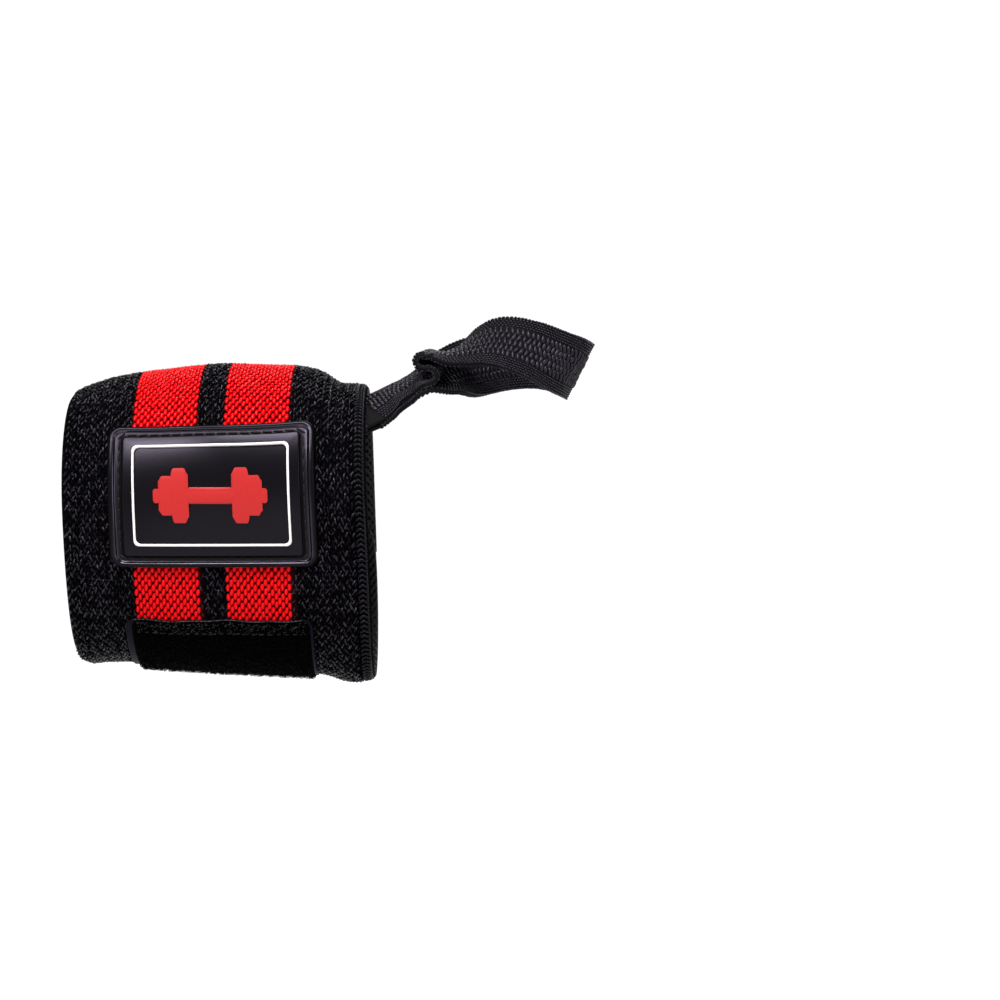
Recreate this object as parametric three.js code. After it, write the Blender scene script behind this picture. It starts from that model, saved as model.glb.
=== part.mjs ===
// An elastic wrist wrap in its worn form: a striped webbing band wound two and a half times round an open
// hollow, a soft strap that leaves it at the top and opens into the thumb loop, a moulded rubber patch, and
// the hook-and-loop tape that closes it. Millimetres; +X runs along the hollow towards the thumb loop, +Z is
// the top and -Y the front, where the patch is. The origin is the middle of the hollow.
// Winding angles are in degrees: 0 faces the front, 90 the top and 180 the back, and they go on past 360
// for each further turn.
import * as THREE from "three";

// Sizes that can be set by themselves.
const clearance = 0.3; // between pieces that lie on each other, and between the band's turns
const bandWidth = 80;
const bandThickness = 1.8;
const bandStart = 40; // winding angle of the band's inner end
const bandEnd = 920; // winding angle of the band's outer end, at the back
const bandSkew = 1; // how far the turns lean to the right at the bottom
const wristHeight = 68; // the hollow, from top to bottom
const wristDepth = 44; // the hollow, from front to back
const hollowRoundness = 2.15; // 2 is an ellipse, and more is squarer

const strapWidth = 17;
const strapThickness = 1.5;
const strapAngle = 69; // where the strap leaves the wrap
const strapTuck = 32; // length of strap sewn in under the band
const tuckMargin = 3; // past the sewn-in end, where the turns above are still lifted in full
const loopReach = 58; // from the band's edge to the loop's far end
const loopRise = 15; // from the strap's exit to the middle of the loop
const loopDepth = 22; // the loop's room, front to back
const curlRadius = 1.6; // the slack curl where the strap turns over

const patchWidth = 55;
const patchHeight = 38.5;
const patchAngle = 736; // winding angle of its middle
const patchCorner = 3.4;
const patchRimHeight = 1.5;
const patchGrooveHeight = 0.7;
const patchPanelHeight = 1.7;
const inlayHeight = 0.5;
const frameLineWidth = 0.9;
const frameInset = 2.2; // from the patch's raised face to the line round it
const frameCorner = 1.4;
const dumbbellWidth = 30;
const dumbbellHeight = 14;

const tapeWidth = 50;
const tapeSelvage = 2.5;
const tapeBase = 0.6;
const pileHeight = 1.1;
const panelFront = 670; // winding angle of the loop panel's visible end, under the patch
const panelPastEnd = 4; // from the band's outer end to the loop panel's other end
const hookTabThickness = 1.2;
const hookTabLap = 20; // sewn over the band's end
const hookTabReach = 38; // past the band's end
const hookTabRamp = 6; // length over which the tab comes down from the band's end to the loop panel
const hookTabEndShare = 0.94; // of its width, at the far end

// Values that follow from them.
const turnPitch = bandThickness + clearance;
const strapPitch = strapThickness + clearance;
const chordSlack = 0.7 * clearance; // because the turns run straight from section to section
const strapRoom = 2 * strapPitch + chordSlack; // for the strap's two plies under the next turn
const freePlyPitch = 1.1 * strapPitch; // the two plies lie a little looser outside the wrap
const tapeThickness = tapeBase + pileHeight;
const degree = Math.PI / 180;

// The hollow's half sizes along its length, as shares of wristHeight and wristDepth. along is a share of
// bandWidth. The rows follow the swell in the middle, the dip at the top right and the pulled-in edges.
const hollowRows = [
  { along: -0.5, top: 0.432, bottom: 0.46, front: 0.466, back: 0.459 },
  { along: -0.46, top: 0.456, bottom: 0.478, front: 0.484, back: 0.477 },
  { along: -0.42, top: 0.474, bottom: 0.474, front: 0.493, back: 0.489 },
  { along: -0.36, top: 0.495, bottom: 0.472, front: 0.5, back: 0.5 },
  { along: -0.27, top: 0.505, bottom: 0.476, front: 0.507, back: 0.505 },
  { along: -0.15, top: 0.502, bottom: 0.486, front: 0.511, back: 0.507 },
  { along: 0, top: 0.497, bottom: 0.496, front: 0.511, back: 0.505 },
  { along: 0.15, top: 0.491, bottom: 0.505, front: 0.509, back: 0.5 },
  { along: 0.27, top: 0.486, bottom: 0.512, front: 0.507, back: 0.495 },
  { along: 0.35, top: 0.463, bottom: 0.53, front: 0.505, back: 0.491 },
  { along: 0.41, top: 0.419, bottom: 0.552, front: 0.505, back: 0.486 },
  { along: 0.455, top: 0.415, bottom: 0.554, front: 0.507, back: 0.484 },
  { along: 0.5, top: 0.413, bottom: 0.546, front: 0.507, back: 0.48 },
];

// Where the band's two edges lie as it is wound, as shares of bandWidth: the stretched inner turns are
// narrower, and the second one stops short of the place where the strap leaves the wrap.
const edgeRows = [
  { angle: 0, left: -0.47, right: 0.46 },
  { angle: 220, left: -0.47, right: 0.455 },
  { angle: 360, left: -0.475, right: 0.42 },
  { angle: 440, left: -0.48, right: 0.405 },
  { angle: 510, left: -0.485, right: 0.425 },
  { angle: 560, left: -0.5, right: 0.5 },
  { angle: 1000, left: -0.5, right: 0.5 },
];

// The band's section. across is a share of its width, and under and over are heights in shares of its
// thickness: round selvedges, each set off by a shallow furrow.
const selvedgeRows = [
  { across: 0.438, under: 0, over: 1 },
  { across: 0.452, under: 0, over: 0.7 },
  { across: 0.47, under: 0, over: 1 },
  { across: 0.5, under: 0.25, over: 0.75 },
];

// A column of a table at a place of its key column, by a smooth curve through the rows.
function between(rows, key, column, place) {
  const last = rows.length - 1;
  if (place <= rows[0][key]) return rows[0][column];
  if (place >= rows[last][key]) return rows[last][column];
  const i = rows.findIndex((row) => row[key] > place) - 1;
  const slope = (k) => {
    const before = rows[Math.max(k - 1, 0)];
    const after = rows[Math.min(k + 1, last)];
    return (after[column] - before[column]) / (after[key] - before[key]);
  };
  const span = rows[i + 1][key] - rows[i][key];
  const t = (place - rows[i][key]) / span;
  return (
    (2 * t ** 3 - 3 * t ** 2 + 1) * rows[i][column] +
    (t ** 3 - 2 * t ** 2 + t) * span * slope(i) +
    (3 * t ** 2 - 2 * t ** 3) * rows[i + 1][column] +
    (t ** 3 - t ** 2) * span * slope(i + 1)
  );
}

// The hollow's outline at a winding angle, as [y, z].
function hollowOutline(angle, along) {
  const c = Math.cos(angle * degree);
  const s = Math.sin(angle * degree);
  const depth = wristDepth * between(hollowRows, "along", c > 0 ? "front" : "back", along);
  const height = wristHeight * between(hollowRows, "along", s > 0 ? "top" : "bottom", along);
  const sum = Math.abs(c / depth) ** hollowRoundness + Math.abs(s / height) ** hollowRoundness;
  const radius = sum ** (-1 / hollowRoundness);
  return [-c * radius, s * radius];
}

// A point at a height above the hollow's surface, measured square to its outline.
function wristPoint(angle, along, height) {
  const [y, z] = hollowOutline(angle, along);
  const [y0, z0] = hollowOutline(angle - 1, along);
  const [y1, z1] = hollowOutline(angle + 1, along);
  const length = Math.hypot(y1 - y0, z1 - z0);
  const x = along * bandWidth - bandSkew * Math.sin(angle * degree);
  return new THREE.Vector3(x, y - ((z1 - z0) / length) * height, z + ((y1 - y0) / length) * height);
}

// Millimetres of outline per degree under the strap, and the angle that half the strap covers.
const strapArc = wristPoint(strapAngle - 0.5, 0.5, 0).distanceTo(wristPoint(strapAngle + 0.5, 0.5, 0));
const strapHalfAngle = strapWidth / 2 / strapArc;

const sectionStep = 10; // degrees from one section of the band to the next
const liftShoulder = 75; // degrees over which the turns come down again
const liftMargin = 6; // degrees beside the strap that are lifted with it
const liftStart = -0.4; // where along the band the lift starts
const liftFull = 0.5 - (strapTuck + tuckMargin) / bandWidth;
const strapRise = 0.05; // share of bandWidth over which the plies rise past the second turn's edge

// How far the turns above the strap are lifted by its two plies, from 0 to 1. angle is within one turn.
// It runs straight from one of the band's sections to the next, as the band itself does.
function strapShare(angle, along) {
  const around = (section) => {
    const aside = Math.abs(((section * sectionStep - strapAngle + 540) % 360) - 180);
    const shoulder = strapHalfAngle + liftMargin + liftShoulder - aside;
    return THREE.MathUtils.smoothstep(shoulder, 0, liftShoulder);
  };
  const place = angle / sectionStep;
  const section = Math.floor(place);
  const share = THREE.MathUtils.lerp(around(section), around(section + 1), place - section);
  return share * THREE.MathUtils.smoothstep(along, liftStart, liftFull);
}

// Height of the band's inner face above the hollow. Turns above the strap rise by both its plies.
function bandLift(angle, along) {
  const turns = (turnPitch * (angle - bandStart)) / 360;
  const overStrap = angle > strapAngle + 180;
  return turns + (overStrap ? strapRoom * strapShare(angle % 360, along) : 0);
}

// A point on the band: height is measured from its inner face.
const bandPoint = (angle, along, height) => wristPoint(angle, along, bandLift(angle, along) + height);

// The winding angle at a distance along the band's outer face from another angle.
function angleAfter(angle, distance) {
  const step = Math.sign(distance) * 0.5;
  let left = Math.abs(distance);
  let at = angle;
  let here = bandPoint(at, 0, bandThickness);
  while (left > 0) {
    const next = bandPoint(at + step, 0, bandThickness);
    const length = here.distanceTo(next);
    if (length >= left) return at + (step * left) / length;
    left -= length;
    at += step;
    here = next;
  }
  return at;
}

// A geometry whose faces point outwards, from points and triangles.
function solid(points, triangles) {
  let volume = 0;
  for (const [a, b, c] of triangles) {
    volume += points[a].dot(new THREE.Vector3().crossVectors(points[b], points[c]));
  }
  const turned = volume < 0 ? triangles.map(([a, b, c]) => [a, c, b]) : triangles;
  const geometry = new THREE.BufferGeometry().setFromPoints(points);
  geometry.setIndex(turned.flat());
  geometry.computeVertexNormals();
  return geometry;
}

// A sheet with a thickness: place(i, j, face) gives the points of its under face 0 and its upper face 1.
function slab(lengthSteps, widthSteps, place) {
  const points = [];
  const triangles = [];
  const index = (i, j, face) => (i * (widthSteps + 1) + j) * 2 + face;
  for (let i = 0; i <= lengthSteps; i++) {
    for (let j = 0; j <= widthSteps; j++) points.push(place(i, j, 0), place(i, j, 1));
  }
  const quad = (a, b, c, d) => triangles.push([a, b, c], [a, c, d]);
  for (let i = 0; i < lengthSteps; i++) {
    for (let j = 0; j < widthSteps; j++) {
      quad(index(i, j, 1), index(i + 1, j, 1), index(i + 1, j + 1, 1), index(i, j + 1, 1));
      quad(index(i, j, 0), index(i, j + 1, 0), index(i + 1, j + 1, 0), index(i + 1, j, 0));
    }
    quad(index(i, 0, 0), index(i + 1, 0, 0), index(i + 1, 0, 1), index(i, 0, 1));
    quad(index(i, widthSteps, 1), index(i + 1, widthSteps, 1), index(i + 1, widthSteps, 0), index(i, widthSteps, 0));
  }
  for (let j = 0; j < widthSteps; j++) {
    quad(index(0, j, 1), index(0, j + 1, 1), index(0, j + 1, 0), index(0, j, 0));
    quad(index(lengthSteps, j, 0), index(lengthSteps, j + 1, 0), index(lengthSteps, j + 1, 1), index(lengthSteps, j, 1));
  }
  return solid(points, triangles);
}

// Rings of points joined one to the next. Open ones end in a point at each end, and closed ones go round.
function rings(rows, around, place, closed) {
  const points = [];
  const triangles = [];
  const index = (k, j) => (k % rows) * around + (j % around);
  for (let k = 0; k < rows; k++) {
    for (let j = 0; j < around; j++) points.push(place(k, j));
  }
  for (let k = 0; k < (closed ? rows : rows - 1); k++) {
    for (let j = 0; j < around; j++) {
      triangles.push([index(k, j), index(k + 1, j), index(k + 1, j + 1)]);
      triangles.push([index(k, j), index(k + 1, j + 1), index(k, j + 1)]);
    }
  }
  if (!closed) {
    for (const k of [0, rows - 1]) {
      const middle = new THREE.Vector3();
      for (let j = 0; j < around; j++) middle.add(points[index(k, j)]);
      const centre = points.push(middle.divideScalar(around)) - 1;
      for (let j = 0; j < around; j++) {
        const pair = [index(k, j), index(k, j + 1)];
        triangles.push(k === 0 ? [centre, ...pair] : [centre, ...pair.reverse()]);
      }
    }
  }
  return solid(points, triangles);
}

function mesh(name, geometry, colour, roughness) {
  const material = new THREE.MeshStandardMaterial({ color: colour, roughness, metalness: 0 });
  const made = new THREE.Mesh(geometry, material);
  made.name = name;
  return made;
}

// The band, one strip from its inner end to its outer one.
function elasticBand() {
  const innerColumns = 8;
  const middle = Array.from({ length: innerColumns }, (_, j) => ({
    across: selvedgeRows[0].across * ((2 * (j + 1)) / (innerColumns + 1) - 1),
    under: 0,
    over: 1,
  }));
  const mirrored = selvedgeRows.map((row) => ({ ...row, across: -row.across })).reverse();
  const columns = [...mirrored, ...middle, ...selvedgeRows];
  const steps = Math.round((bandEnd - bandStart) / sectionStep);
  return slab(steps, columns.length - 1, (i, j, face) => {
    const angle = bandStart + ((bandEnd - bandStart) * i) / steps;
    const left = between(edgeRows, "angle", "left", angle);
    const right = between(edgeRows, "angle", "right", angle);
    const along = left + (right - left) * (columns[j].across + 0.5);
    return bandPoint(angle, along, bandThickness * (face ? columns[j].over : columns[j].under));
  });
}

// Height of a ply's middle above the hollow, from where it is sewn in to the band's edge. ply 0 lies on
// the first turn and ply 1 on ply 0. Past the second turn's edge both rise to lie under the last turn.
function strapHeight(ply, along) {
  const low = bandLift(strapAngle, along) + bandThickness + clearance;
  const high = bandLift(strapAngle + 720, along) - 2 * strapPitch;
  const edge = between(edgeRows, "angle", "right", strapAngle + 360) + clearance / bandWidth;
  const rise = THREE.MathUtils.smoothstep(along, edge, edge + strapRise);
  return low + (high - low) * rise + ply * strapPitch + strapThickness / 2;
}

// A place on the strap where it lies in the wrap. across runs from -1 at its front edge to 1, and
// height from its middle face.
const tuckedPoint = (ply, along, across, height) =>
  wristPoint(strapAngle + across * strapHalfAngle, along, strapHeight(ply, along) + height);

// The free strap's middle line. reach, depth and rise are shares of loopReach, loopDepth and loopRise from
// the strap's exit, and the last three columns point across it, from its near edge to its far one.
const stemRows = [
  { reach: 0.09, depth: 0.13, rise: 0.17, acrossX: -0.05, acrossY: 0.93, acrossZ: 0.33, cup: 0.7 },
  { reach: 0.17, depth: 0.2, rise: 0.33, acrossX: -0.06, acrossY: 0.94, acrossZ: 0.3, cup: 0.5 },
  { reach: 0.245, depth: 0.25, rise: 0.48, acrossX: -0.04, acrossY: 0.95, acrossZ: 0.25, cup: 0.3 },
];
const kinkRow = { reach: 0.311, depth: 0.27, rise: 0.745, acrossX: 0.14, acrossY: 1, acrossZ: 0.16, cup: 0.1 };
const frontRows = [
  { reach: 0.35, depth: 0.25, rise: 1.04, acrossX: 0.03, acrossY: 1, acrossZ: 0.07, cup: 0.05 },
  { reach: 0.396, depth: 0.2, rise: 1.055, acrossX: 0.08, acrossY: 0.98, acrossZ: 0.18, cup: 0.05 },
  { reach: 0.448, depth: 0.13, rise: 1.105, acrossX: 0.14, acrossY: 0.88, acrossZ: 0.42, cup: 0.05 },
  { reach: 0.509, depth: 0.055, rise: 1.18, acrossX: 0.22, acrossY: 0.73, acrossZ: 0.63, cup: 0.05 },
  { reach: 0.574, depth: -0.01, rise: 1.245, acrossX: 0.28, acrossY: 0.6, acrossZ: 0.74, cup: 0.05 },
  { reach: 0.644, depth: -0.045, rise: 1.25, acrossX: 0.33, acrossY: 0.53, acrossZ: 0.78, cup: 0.05 },
  { reach: 0.723, depth: -0.05, rise: 1.187, acrossX: 0.36, acrossY: 0.48, acrossZ: 0.8, cup: 0.05 },
  { reach: 0.806, depth: -0.01, rise: 1.075, acrossX: 0.39, acrossY: 0.42, acrossZ: 0.82, cup: 0 },
  { reach: 0.891, depth: 0.12, rise: 0.93, acrossX: 0.42, acrossY: 0.28, acrossZ: 0.86, cup: 0 },
  { reach: 0.968, depth: 0.34, rise: 0.82, acrossX: 0.45, acrossY: 0.1, acrossZ: 0.89, cup: 0 },
  { reach: 1, depth: 0.59, rise: 0.777, acrossX: 0.45, acrossY: 0, acrossZ: 0.89, cup: 0 },
  { reach: 0.985, depth: 0.81, rise: 0.86, acrossX: 0.43, acrossY: -0.12, acrossZ: 0.89, cup: 0 },
  { reach: 0.918, depth: 0.97, rise: 0.97, acrossX: 0.38, acrossY: -0.18, acrossZ: 0.9, cup: 0 },
  { reach: 0.803, depth: 1.04, rise: 1.05, acrossX: 0.3, acrossY: -0.12, acrossZ: 0.94, cup: 0 },
  { reach: 0.668, depth: 1, rise: 1.02, acrossX: 0.2, acrossY: 0.05, acrossZ: 0.97, cup: 0 },
  { reach: 0.534, depth: 0.85, rise: 0.9, acrossX: 0.1, acrossY: 0.3, acrossZ: 0.94, cup: 0.05 },
  { reach: 0.431, depth: 0.64, rise: 0.76, acrossX: 0.03, acrossY: 0.62, acrossZ: 0.76, cup: 0.1 },
  { reach: 0.34, depth: 0.42, rise: 0.61, acrossX: -0.03, acrossY: 0.86, acrossZ: 0.48, cup: 0.2 },
];

// The slack curl's two bends, in which the upper ply turns back on itself and over. right and up are the
// bends' middles in curl radii from the kink, and each turns from one angle to another.
const curlRows = [
  { right: 0, up: 0, from: -60, to: 80, points: 5 },
  { right: -1, up: 2, from: 265, to: 100, points: 6 },
];

// The free strap's middle line and directions, from the band's edge, round the loop and back to it.
function freeStations() {
  const edges = [-1, 1].map((across) => tuckedPoint(0, 0.5, across, 0));
  const exitAcross = new THREE.Vector3().subVectors(edges[1], edges[0]).normalize();
  const exitCup = tuckedPoint(0, 0.5, 0, 0).z - (edges[0].z + edges[1].z) / 2;
  const exit = (ply) => ({ centre: tuckedPoint(ply, 0.5, 0, 0), across: exitAcross, cup: exitCup });
  const free = (row, ply) => {
    const across = new THREE.Vector3(row.acrossX, row.acrossY, row.acrossZ).normalize();
    const centre = new THREE.Vector3(row.reach * loopReach, row.depth * loopDepth, row.rise * loopRise);
    centre.add(exit(0).centre);
    centre.z += ply * freePlyPitch;
    return { centre, across, cup: row.cup * exitCup };
  };
  const kink = free(kinkRow, 0);
  const curl = curlRows.flatMap((row) =>
    Array.from({ length: row.points }, (_, i) => {
      const turn = THREE.MathUtils.lerp(row.from, row.to, i / (row.points - 1)) * degree;
      const centre = kink.centre.clone();
      centre.x += (row.right + Math.cos(turn)) * curlRadius;
      centre.z += (row.up + Math.sin(turn)) * curlRadius;
      return { ...kink, centre };
    }),
  );
  return [
    exit(1),
    ...stemRows.map((row) => free(row, 1)),
    ...curl,
    ...frontRows.map((row) => free(row, 0)),
    ...stemRows.map((row) => free(row, 0)).reverse(),
    exit(0),
  ];
}

const strapStep = 1.9; // from one of the free strap's sections to the next
const tuckedSteps = 8; // sections of each sewn-in ply

// The strap's section: thick is a share of strapThickness, less at the edges.
const strapColumns = [
  { across: -1, thick: 0.55 },
  { across: -0.92, thick: 1 },
  { across: -0.46, thick: 1 },
  { across: 0, thick: 1 },
  { across: 0.46, thick: 1 },
  { across: 0.92, thick: 1 },
  { across: 1, thick: 0.55 },
];

// The strap: its upper ply runs out of the wrap, and its lower ply runs back in, so that the face that looks
// out on one looks in on the other.
function thumbLoop() {
  const stations = freeStations();
  const middle = new THREE.CatmullRomCurve3(stations.map((station) => station.centre), false, "centripetal");
  middle.arcLengthDivisions = 600;
  const steps = Math.round(middle.getLength() / strapStep);
  const inner = 0.5 - strapTuck / bandWidth;
  const tucked = (ply) =>
    Array.from({ length: tuckedSteps }, (_, i) => (across, height) => {
      const along = inner + ((0.5 - inner) * i) / tuckedSteps;
      return tuckedPoint(ply, along, across, ply ? height : -height);
    });
  const free = Array.from({ length: steps + 1 }, (_, i) => {
    const t = middle.getUtoTmapping(i / steps);
    const place = t * (stations.length - 1);
    const k = Math.min(Math.floor(place), stations.length - 2);
    const share = place - k;
    const tangent = middle.getTangent(t);
    const across = stations[k].across.clone().lerp(stations[k + 1].across, share);
    across.addScaledVector(tangent, -across.dot(tangent)).normalize();
    const cup = (stations[k].cup + (stations[k + 1].cup - stations[k].cup) * share) * (i < steps / 2 ? 1 : -1);
    const away = new THREE.Vector3().crossVectors(tangent, across);
    return (side, height) =>
      middle
        .getPoint(t)
        .addScaledVector(across, (side * strapWidth) / 2)
        .addScaledVector(away, height - cup * side ** 2);
  });
  const sections = [...tucked(1), ...free, ...tucked(0).reverse()];
  return slab(sections.length - 1, strapColumns.length - 1, (i, j, face) => {
    const { across, thick } = strapColumns[j];
    return sections[i](across, (face - 0.5) * strapThickness * thick);
  });
}

// A place on the last turn: up is measured along the band from the patch's middle, and height from the
// band's outer face.
function onPatchSpot(x, up, height) {
  return bandPoint(angleAfter(patchAngle, up), x / bandWidth, bandThickness + height);
}

// The points of a rectangle with round corners, counter-clockwise from the middle of its right side.
const sidePoints = { up: 5, corner: 4, across: 7 }; // steps in each quarter
const outlinePoints = 4 * (sidePoints.up + sidePoints.corner + sidePoints.across);
function roundedOutline(width, height, corner) {
  const x = width / 2 - corner;
  const y = height / 2 - corner;
  const quarter = [];
  for (let i = 0; i < sidePoints.up; i++) quarter.push([width / 2, (y * i) / sidePoints.up]);
  for (let i = 0; i < sidePoints.corner; i++) {
    const turn = (Math.PI / 2) * (i / sidePoints.corner);
    quarter.push([x + corner * Math.cos(turn), y + corner * Math.sin(turn)]);
  }
  for (let i = 0; i < sidePoints.across; i++) quarter.push([x * (1 - i / sidePoints.across), height / 2]);
  const top = [0, height / 2];
  const right = [width / 2, 0];
  const mirrored = (points, sx, sy) => points.map(([px, py]) => [sx * px, sy * py]);
  const second = [top, ...quarter.slice(1).reverse()];
  const fourth = [top, ...quarter.slice(1).reverse()];
  return [
    ...quarter,
    ...mirrored(second, -1, 1),
    ...mirrored([right, ...quarter.slice(1)], -1, -1),
    ...mirrored(fourth, 1, -1),
  ];
}

// The patch's section from the middle of its underside to the middle of its face. side and end are insets
// in millimetres from the patch's outline, scale draws the row in towards the middle, and height is the
// row's height.
const patchRows = [
  { side: 0, end: 0, corner: 1, scale: 0.25, height: 0 },
  { side: 0, end: 0, corner: 1, scale: 0.5, height: 0 },
  { side: 0, end: 0, corner: 1, scale: 0.75, height: 0 },
  { side: 0, end: 0, corner: 1, scale: 1, height: 0 },
  { side: 0, end: 0, corner: 1, scale: 1, height: 0.6 * patchRimHeight },
  { side: 0.5, end: 0.5, corner: 0.85, scale: 1, height: patchRimHeight },
  { side: 1.5, end: 1.2, corner: 0.6, scale: 1, height: patchRimHeight },
  { side: 1.9, end: 1.5, corner: 0.5, scale: 1, height: patchGrooveHeight },
  { side: 3.9, end: 2.9, corner: 0.25, scale: 1, height: patchGrooveHeight },
  { side: 4.1, end: 3.1, corner: 0.22, scale: 1, height: 0.85 * patchPanelHeight },
  { side: 4.4, end: 3.4, corner: 0.2, scale: 1, height: patchPanelHeight },
  { side: 4.4, end: 3.4, corner: 0.2, scale: 0.67, height: patchPanelHeight },
  { side: 4.4, end: 3.4, corner: 0.2, scale: 0.34, height: patchPanelHeight },
];

function rubberPatch() {
  const outlines = patchRows.map((row) =>
    roundedOutline(patchWidth - 2 * row.side, patchHeight - 2 * row.end, patchCorner * row.corner),
  );
  return rings(patchRows.length, outlinePoints, (k, j) => {
    const [x, up] = outlines[k][j];
    const row = patchRows[k];
    return onPatchSpot(x * row.scale, up * row.scale, clearance + row.height);
  });
}

// Raised inlays sit on the patch's face.
const inlayBase = clearance + patchPanelHeight + clearance;

// A thin raised line round the face's edge.
function inlayFrame() {
  const face = patchRows[patchRows.length - 1];
  const rows = [
    { out: 0, height: 0 },
    { out: 0, height: inlayHeight },
    { out: frameLineWidth, height: inlayHeight },
    { out: frameLineWidth, height: 0 },
  ];
  const outlines = rows.map(({ out }) => {
    const width = patchWidth - 2 * (face.side + frameInset + out);
    const height = patchHeight - 2 * (face.end + frameInset + out);
    return roundedOutline(width, height, frameCorner);
  });
  const place = (k, j) => onPatchSpot(...outlines[k][j], inlayBase + rows[k].height);
  return rings(rows.length, outlinePoints, place, true);
}

// The raised dumbbell's half heights at shares of its half width: grip, inner plate, outer plate and end.
const dumbbellRows = [
  { out: 0, half: 0.15 },
  { out: 0.42, half: 0.15 },
  { out: 0.44, half: 0.5 },
  { out: 0.65, half: 0.5 },
  { out: 0.67, half: 0.36 },
  { out: 0.86, half: 0.36 },
  { out: 0.88, half: 0.13 },
  { out: 1, half: 0.13 },
];

function inlayDumbbell() {
  const right = dumbbellRows.slice(1);
  const columns = [...right.map((row) => ({ ...row, out: -row.out })).reverse(), ...right];
  const steps = 4;
  return slab(columns.length - 1, steps, (i, j, face) => {
    const x = (columns[i].out * dumbbellWidth) / 2;
    const up = columns[i].half * dumbbellHeight * ((2 * j) / steps - 1);
    return onPatchSpot(x, up, inlayBase + face * inlayHeight);
  });
}

// The loop panel, from just past the band's outer end to its stitched front end. Across it, the woven
// selvages are bare and the pile stands between them with round shoulders. heights are in millimetres.
function loopPanel() {
  const half = tapeWidth / 2;
  const pile = half - tapeSelvage;
  const shoulderRows = [
    { x: pile - 1.2, over: tapeThickness },
    { x: pile - 0.4, over: tapeBase + 0.8 * pileHeight },
    { x: pile, over: tapeBase },
    { x: half, over: tapeBase },
  ];
  const columns = [
    ...shoulderRows.map((row) => ({ ...row, x: -row.x })).reverse(),
    { x: -pile / 3, over: tapeThickness },
    { x: pile / 3, over: tapeThickness },
    ...shoulderRows,
  ];
  // Pile height along the tape, in millimetres from its front end and shares of the full height.
  const hemRows = [
    { from: 0, share: 0.2 },
    { from: 0.8, share: 0.45 },
    { from: 3.2, share: 0.45 },
    { from: 3.8, share: 0.25 },
    { from: 4.6, share: 0.7 },
    { from: 6.2, share: 1 },
  ];
  const backAngle = angleAfter(bandEnd, panelPastEnd) - 360;
  const angles = hemRows.map((row) => angleAfter(panelFront, -row.from));
  const steps = 14;
  const frontAngle = angles[angles.length - 1];
  for (let i = 1; i <= steps; i++) angles.push(frontAngle + ((backAngle - frontAngle) * i) / steps);
  return slab(angles.length - 1, columns.length - 1, (i, j, face) => {
    const share = i < hemRows.length ? hemRows[i].share : 1;
    const over = tapeBase + (columns[j].over - tapeBase) * share;
    return bandPoint(angles[i], columns[j].x / bandWidth, turnPitch + (face ? over : 0));
  });
}

const tapeStep = 3; // from one of the hook tab's sections to the next

// The hook tab: a plain tape sewn over the band's end that reaches on over the loop panel.
function hookTab() {
  const count = Math.round((hookTabLap + hookTabReach) / tapeStep);
  const columns = [-0.5, -0.25, 0, 0.25, 0.5];
  return slab(count, columns.length - 1, (i, j, face) => {
    const past = -hookTabLap + ((hookTabLap + hookTabReach) * i) / count;
    const angle = angleAfter(bandEnd, past);
    const onPanel = THREE.MathUtils.smoothstep(past, 0, hookTabRamp);
    const under = bandThickness + (tapeThickness - bandThickness) * onPanel + clearance;
    const x = columns[j] * tapeWidth * (i === count ? hookTabEndShare : 1);
    return bandPoint(angle, x / bandWidth, under + face * hookTabThickness);
  });
}

const wrap = new THREE.Group();
wrap.add(mesh("elastic_band", elasticBand(), 0x17151a, 0.85));
wrap.add(mesh("thumb_loop", thumbLoop(), 0x17151a, 0.85));
wrap.add(mesh("rubber_patch", rubberPatch(), 0x1b1a1e, 0.4));
wrap.add(mesh("patch_frame_inlay", inlayFrame(), 0xf2f1f0, 0.45));
wrap.add(mesh("patch_dumbbell_inlay", inlayDumbbell(), 0xd8403c, 0.45));
wrap.add(mesh("loop_panel", loopPanel(), 0x070608, 0.95));
wrap.add(mesh("hook_tab", hookTab(), 0x121116, 0.6));

export default wrap;
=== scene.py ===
import math

import bpy
import numpy as np
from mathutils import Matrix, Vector


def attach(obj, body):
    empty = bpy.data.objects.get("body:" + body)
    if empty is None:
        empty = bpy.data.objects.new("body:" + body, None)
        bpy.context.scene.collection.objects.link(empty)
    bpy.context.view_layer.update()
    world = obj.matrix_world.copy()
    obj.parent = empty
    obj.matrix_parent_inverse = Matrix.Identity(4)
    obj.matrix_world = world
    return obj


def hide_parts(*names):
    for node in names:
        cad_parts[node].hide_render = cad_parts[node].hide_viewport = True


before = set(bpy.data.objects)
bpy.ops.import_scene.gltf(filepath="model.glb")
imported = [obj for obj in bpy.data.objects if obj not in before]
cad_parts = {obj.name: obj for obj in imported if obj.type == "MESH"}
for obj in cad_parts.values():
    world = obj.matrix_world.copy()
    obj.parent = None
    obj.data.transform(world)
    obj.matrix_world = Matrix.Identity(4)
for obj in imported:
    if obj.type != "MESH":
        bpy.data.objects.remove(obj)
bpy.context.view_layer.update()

# Camera: level, facing the front, with the object in the left half of the picture as in the photo.
# It stands 700 mm away, because the band's side edges bow as they do from that distance.
camera_place = (0.0756, -0.700, 0.0066)
view_half_width = 0.1373  # what half the picture's width covers at the wrap's middle
camera_data = bpy.data.cameras.new("camera")
camera_data.sensor_width = 36
camera_data.lens = camera_data.sensor_width / 2 * -camera_place[1] / view_half_width
camera_data.clip_start = 0.01
camera = bpy.data.objects.new("camera", camera_data)
camera.location = camera_place
camera.rotation_euler = (math.pi / 2, 0, 0)
bpy.context.collection.objects.link(camera)
bpy.context.scene.camera = camera


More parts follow.
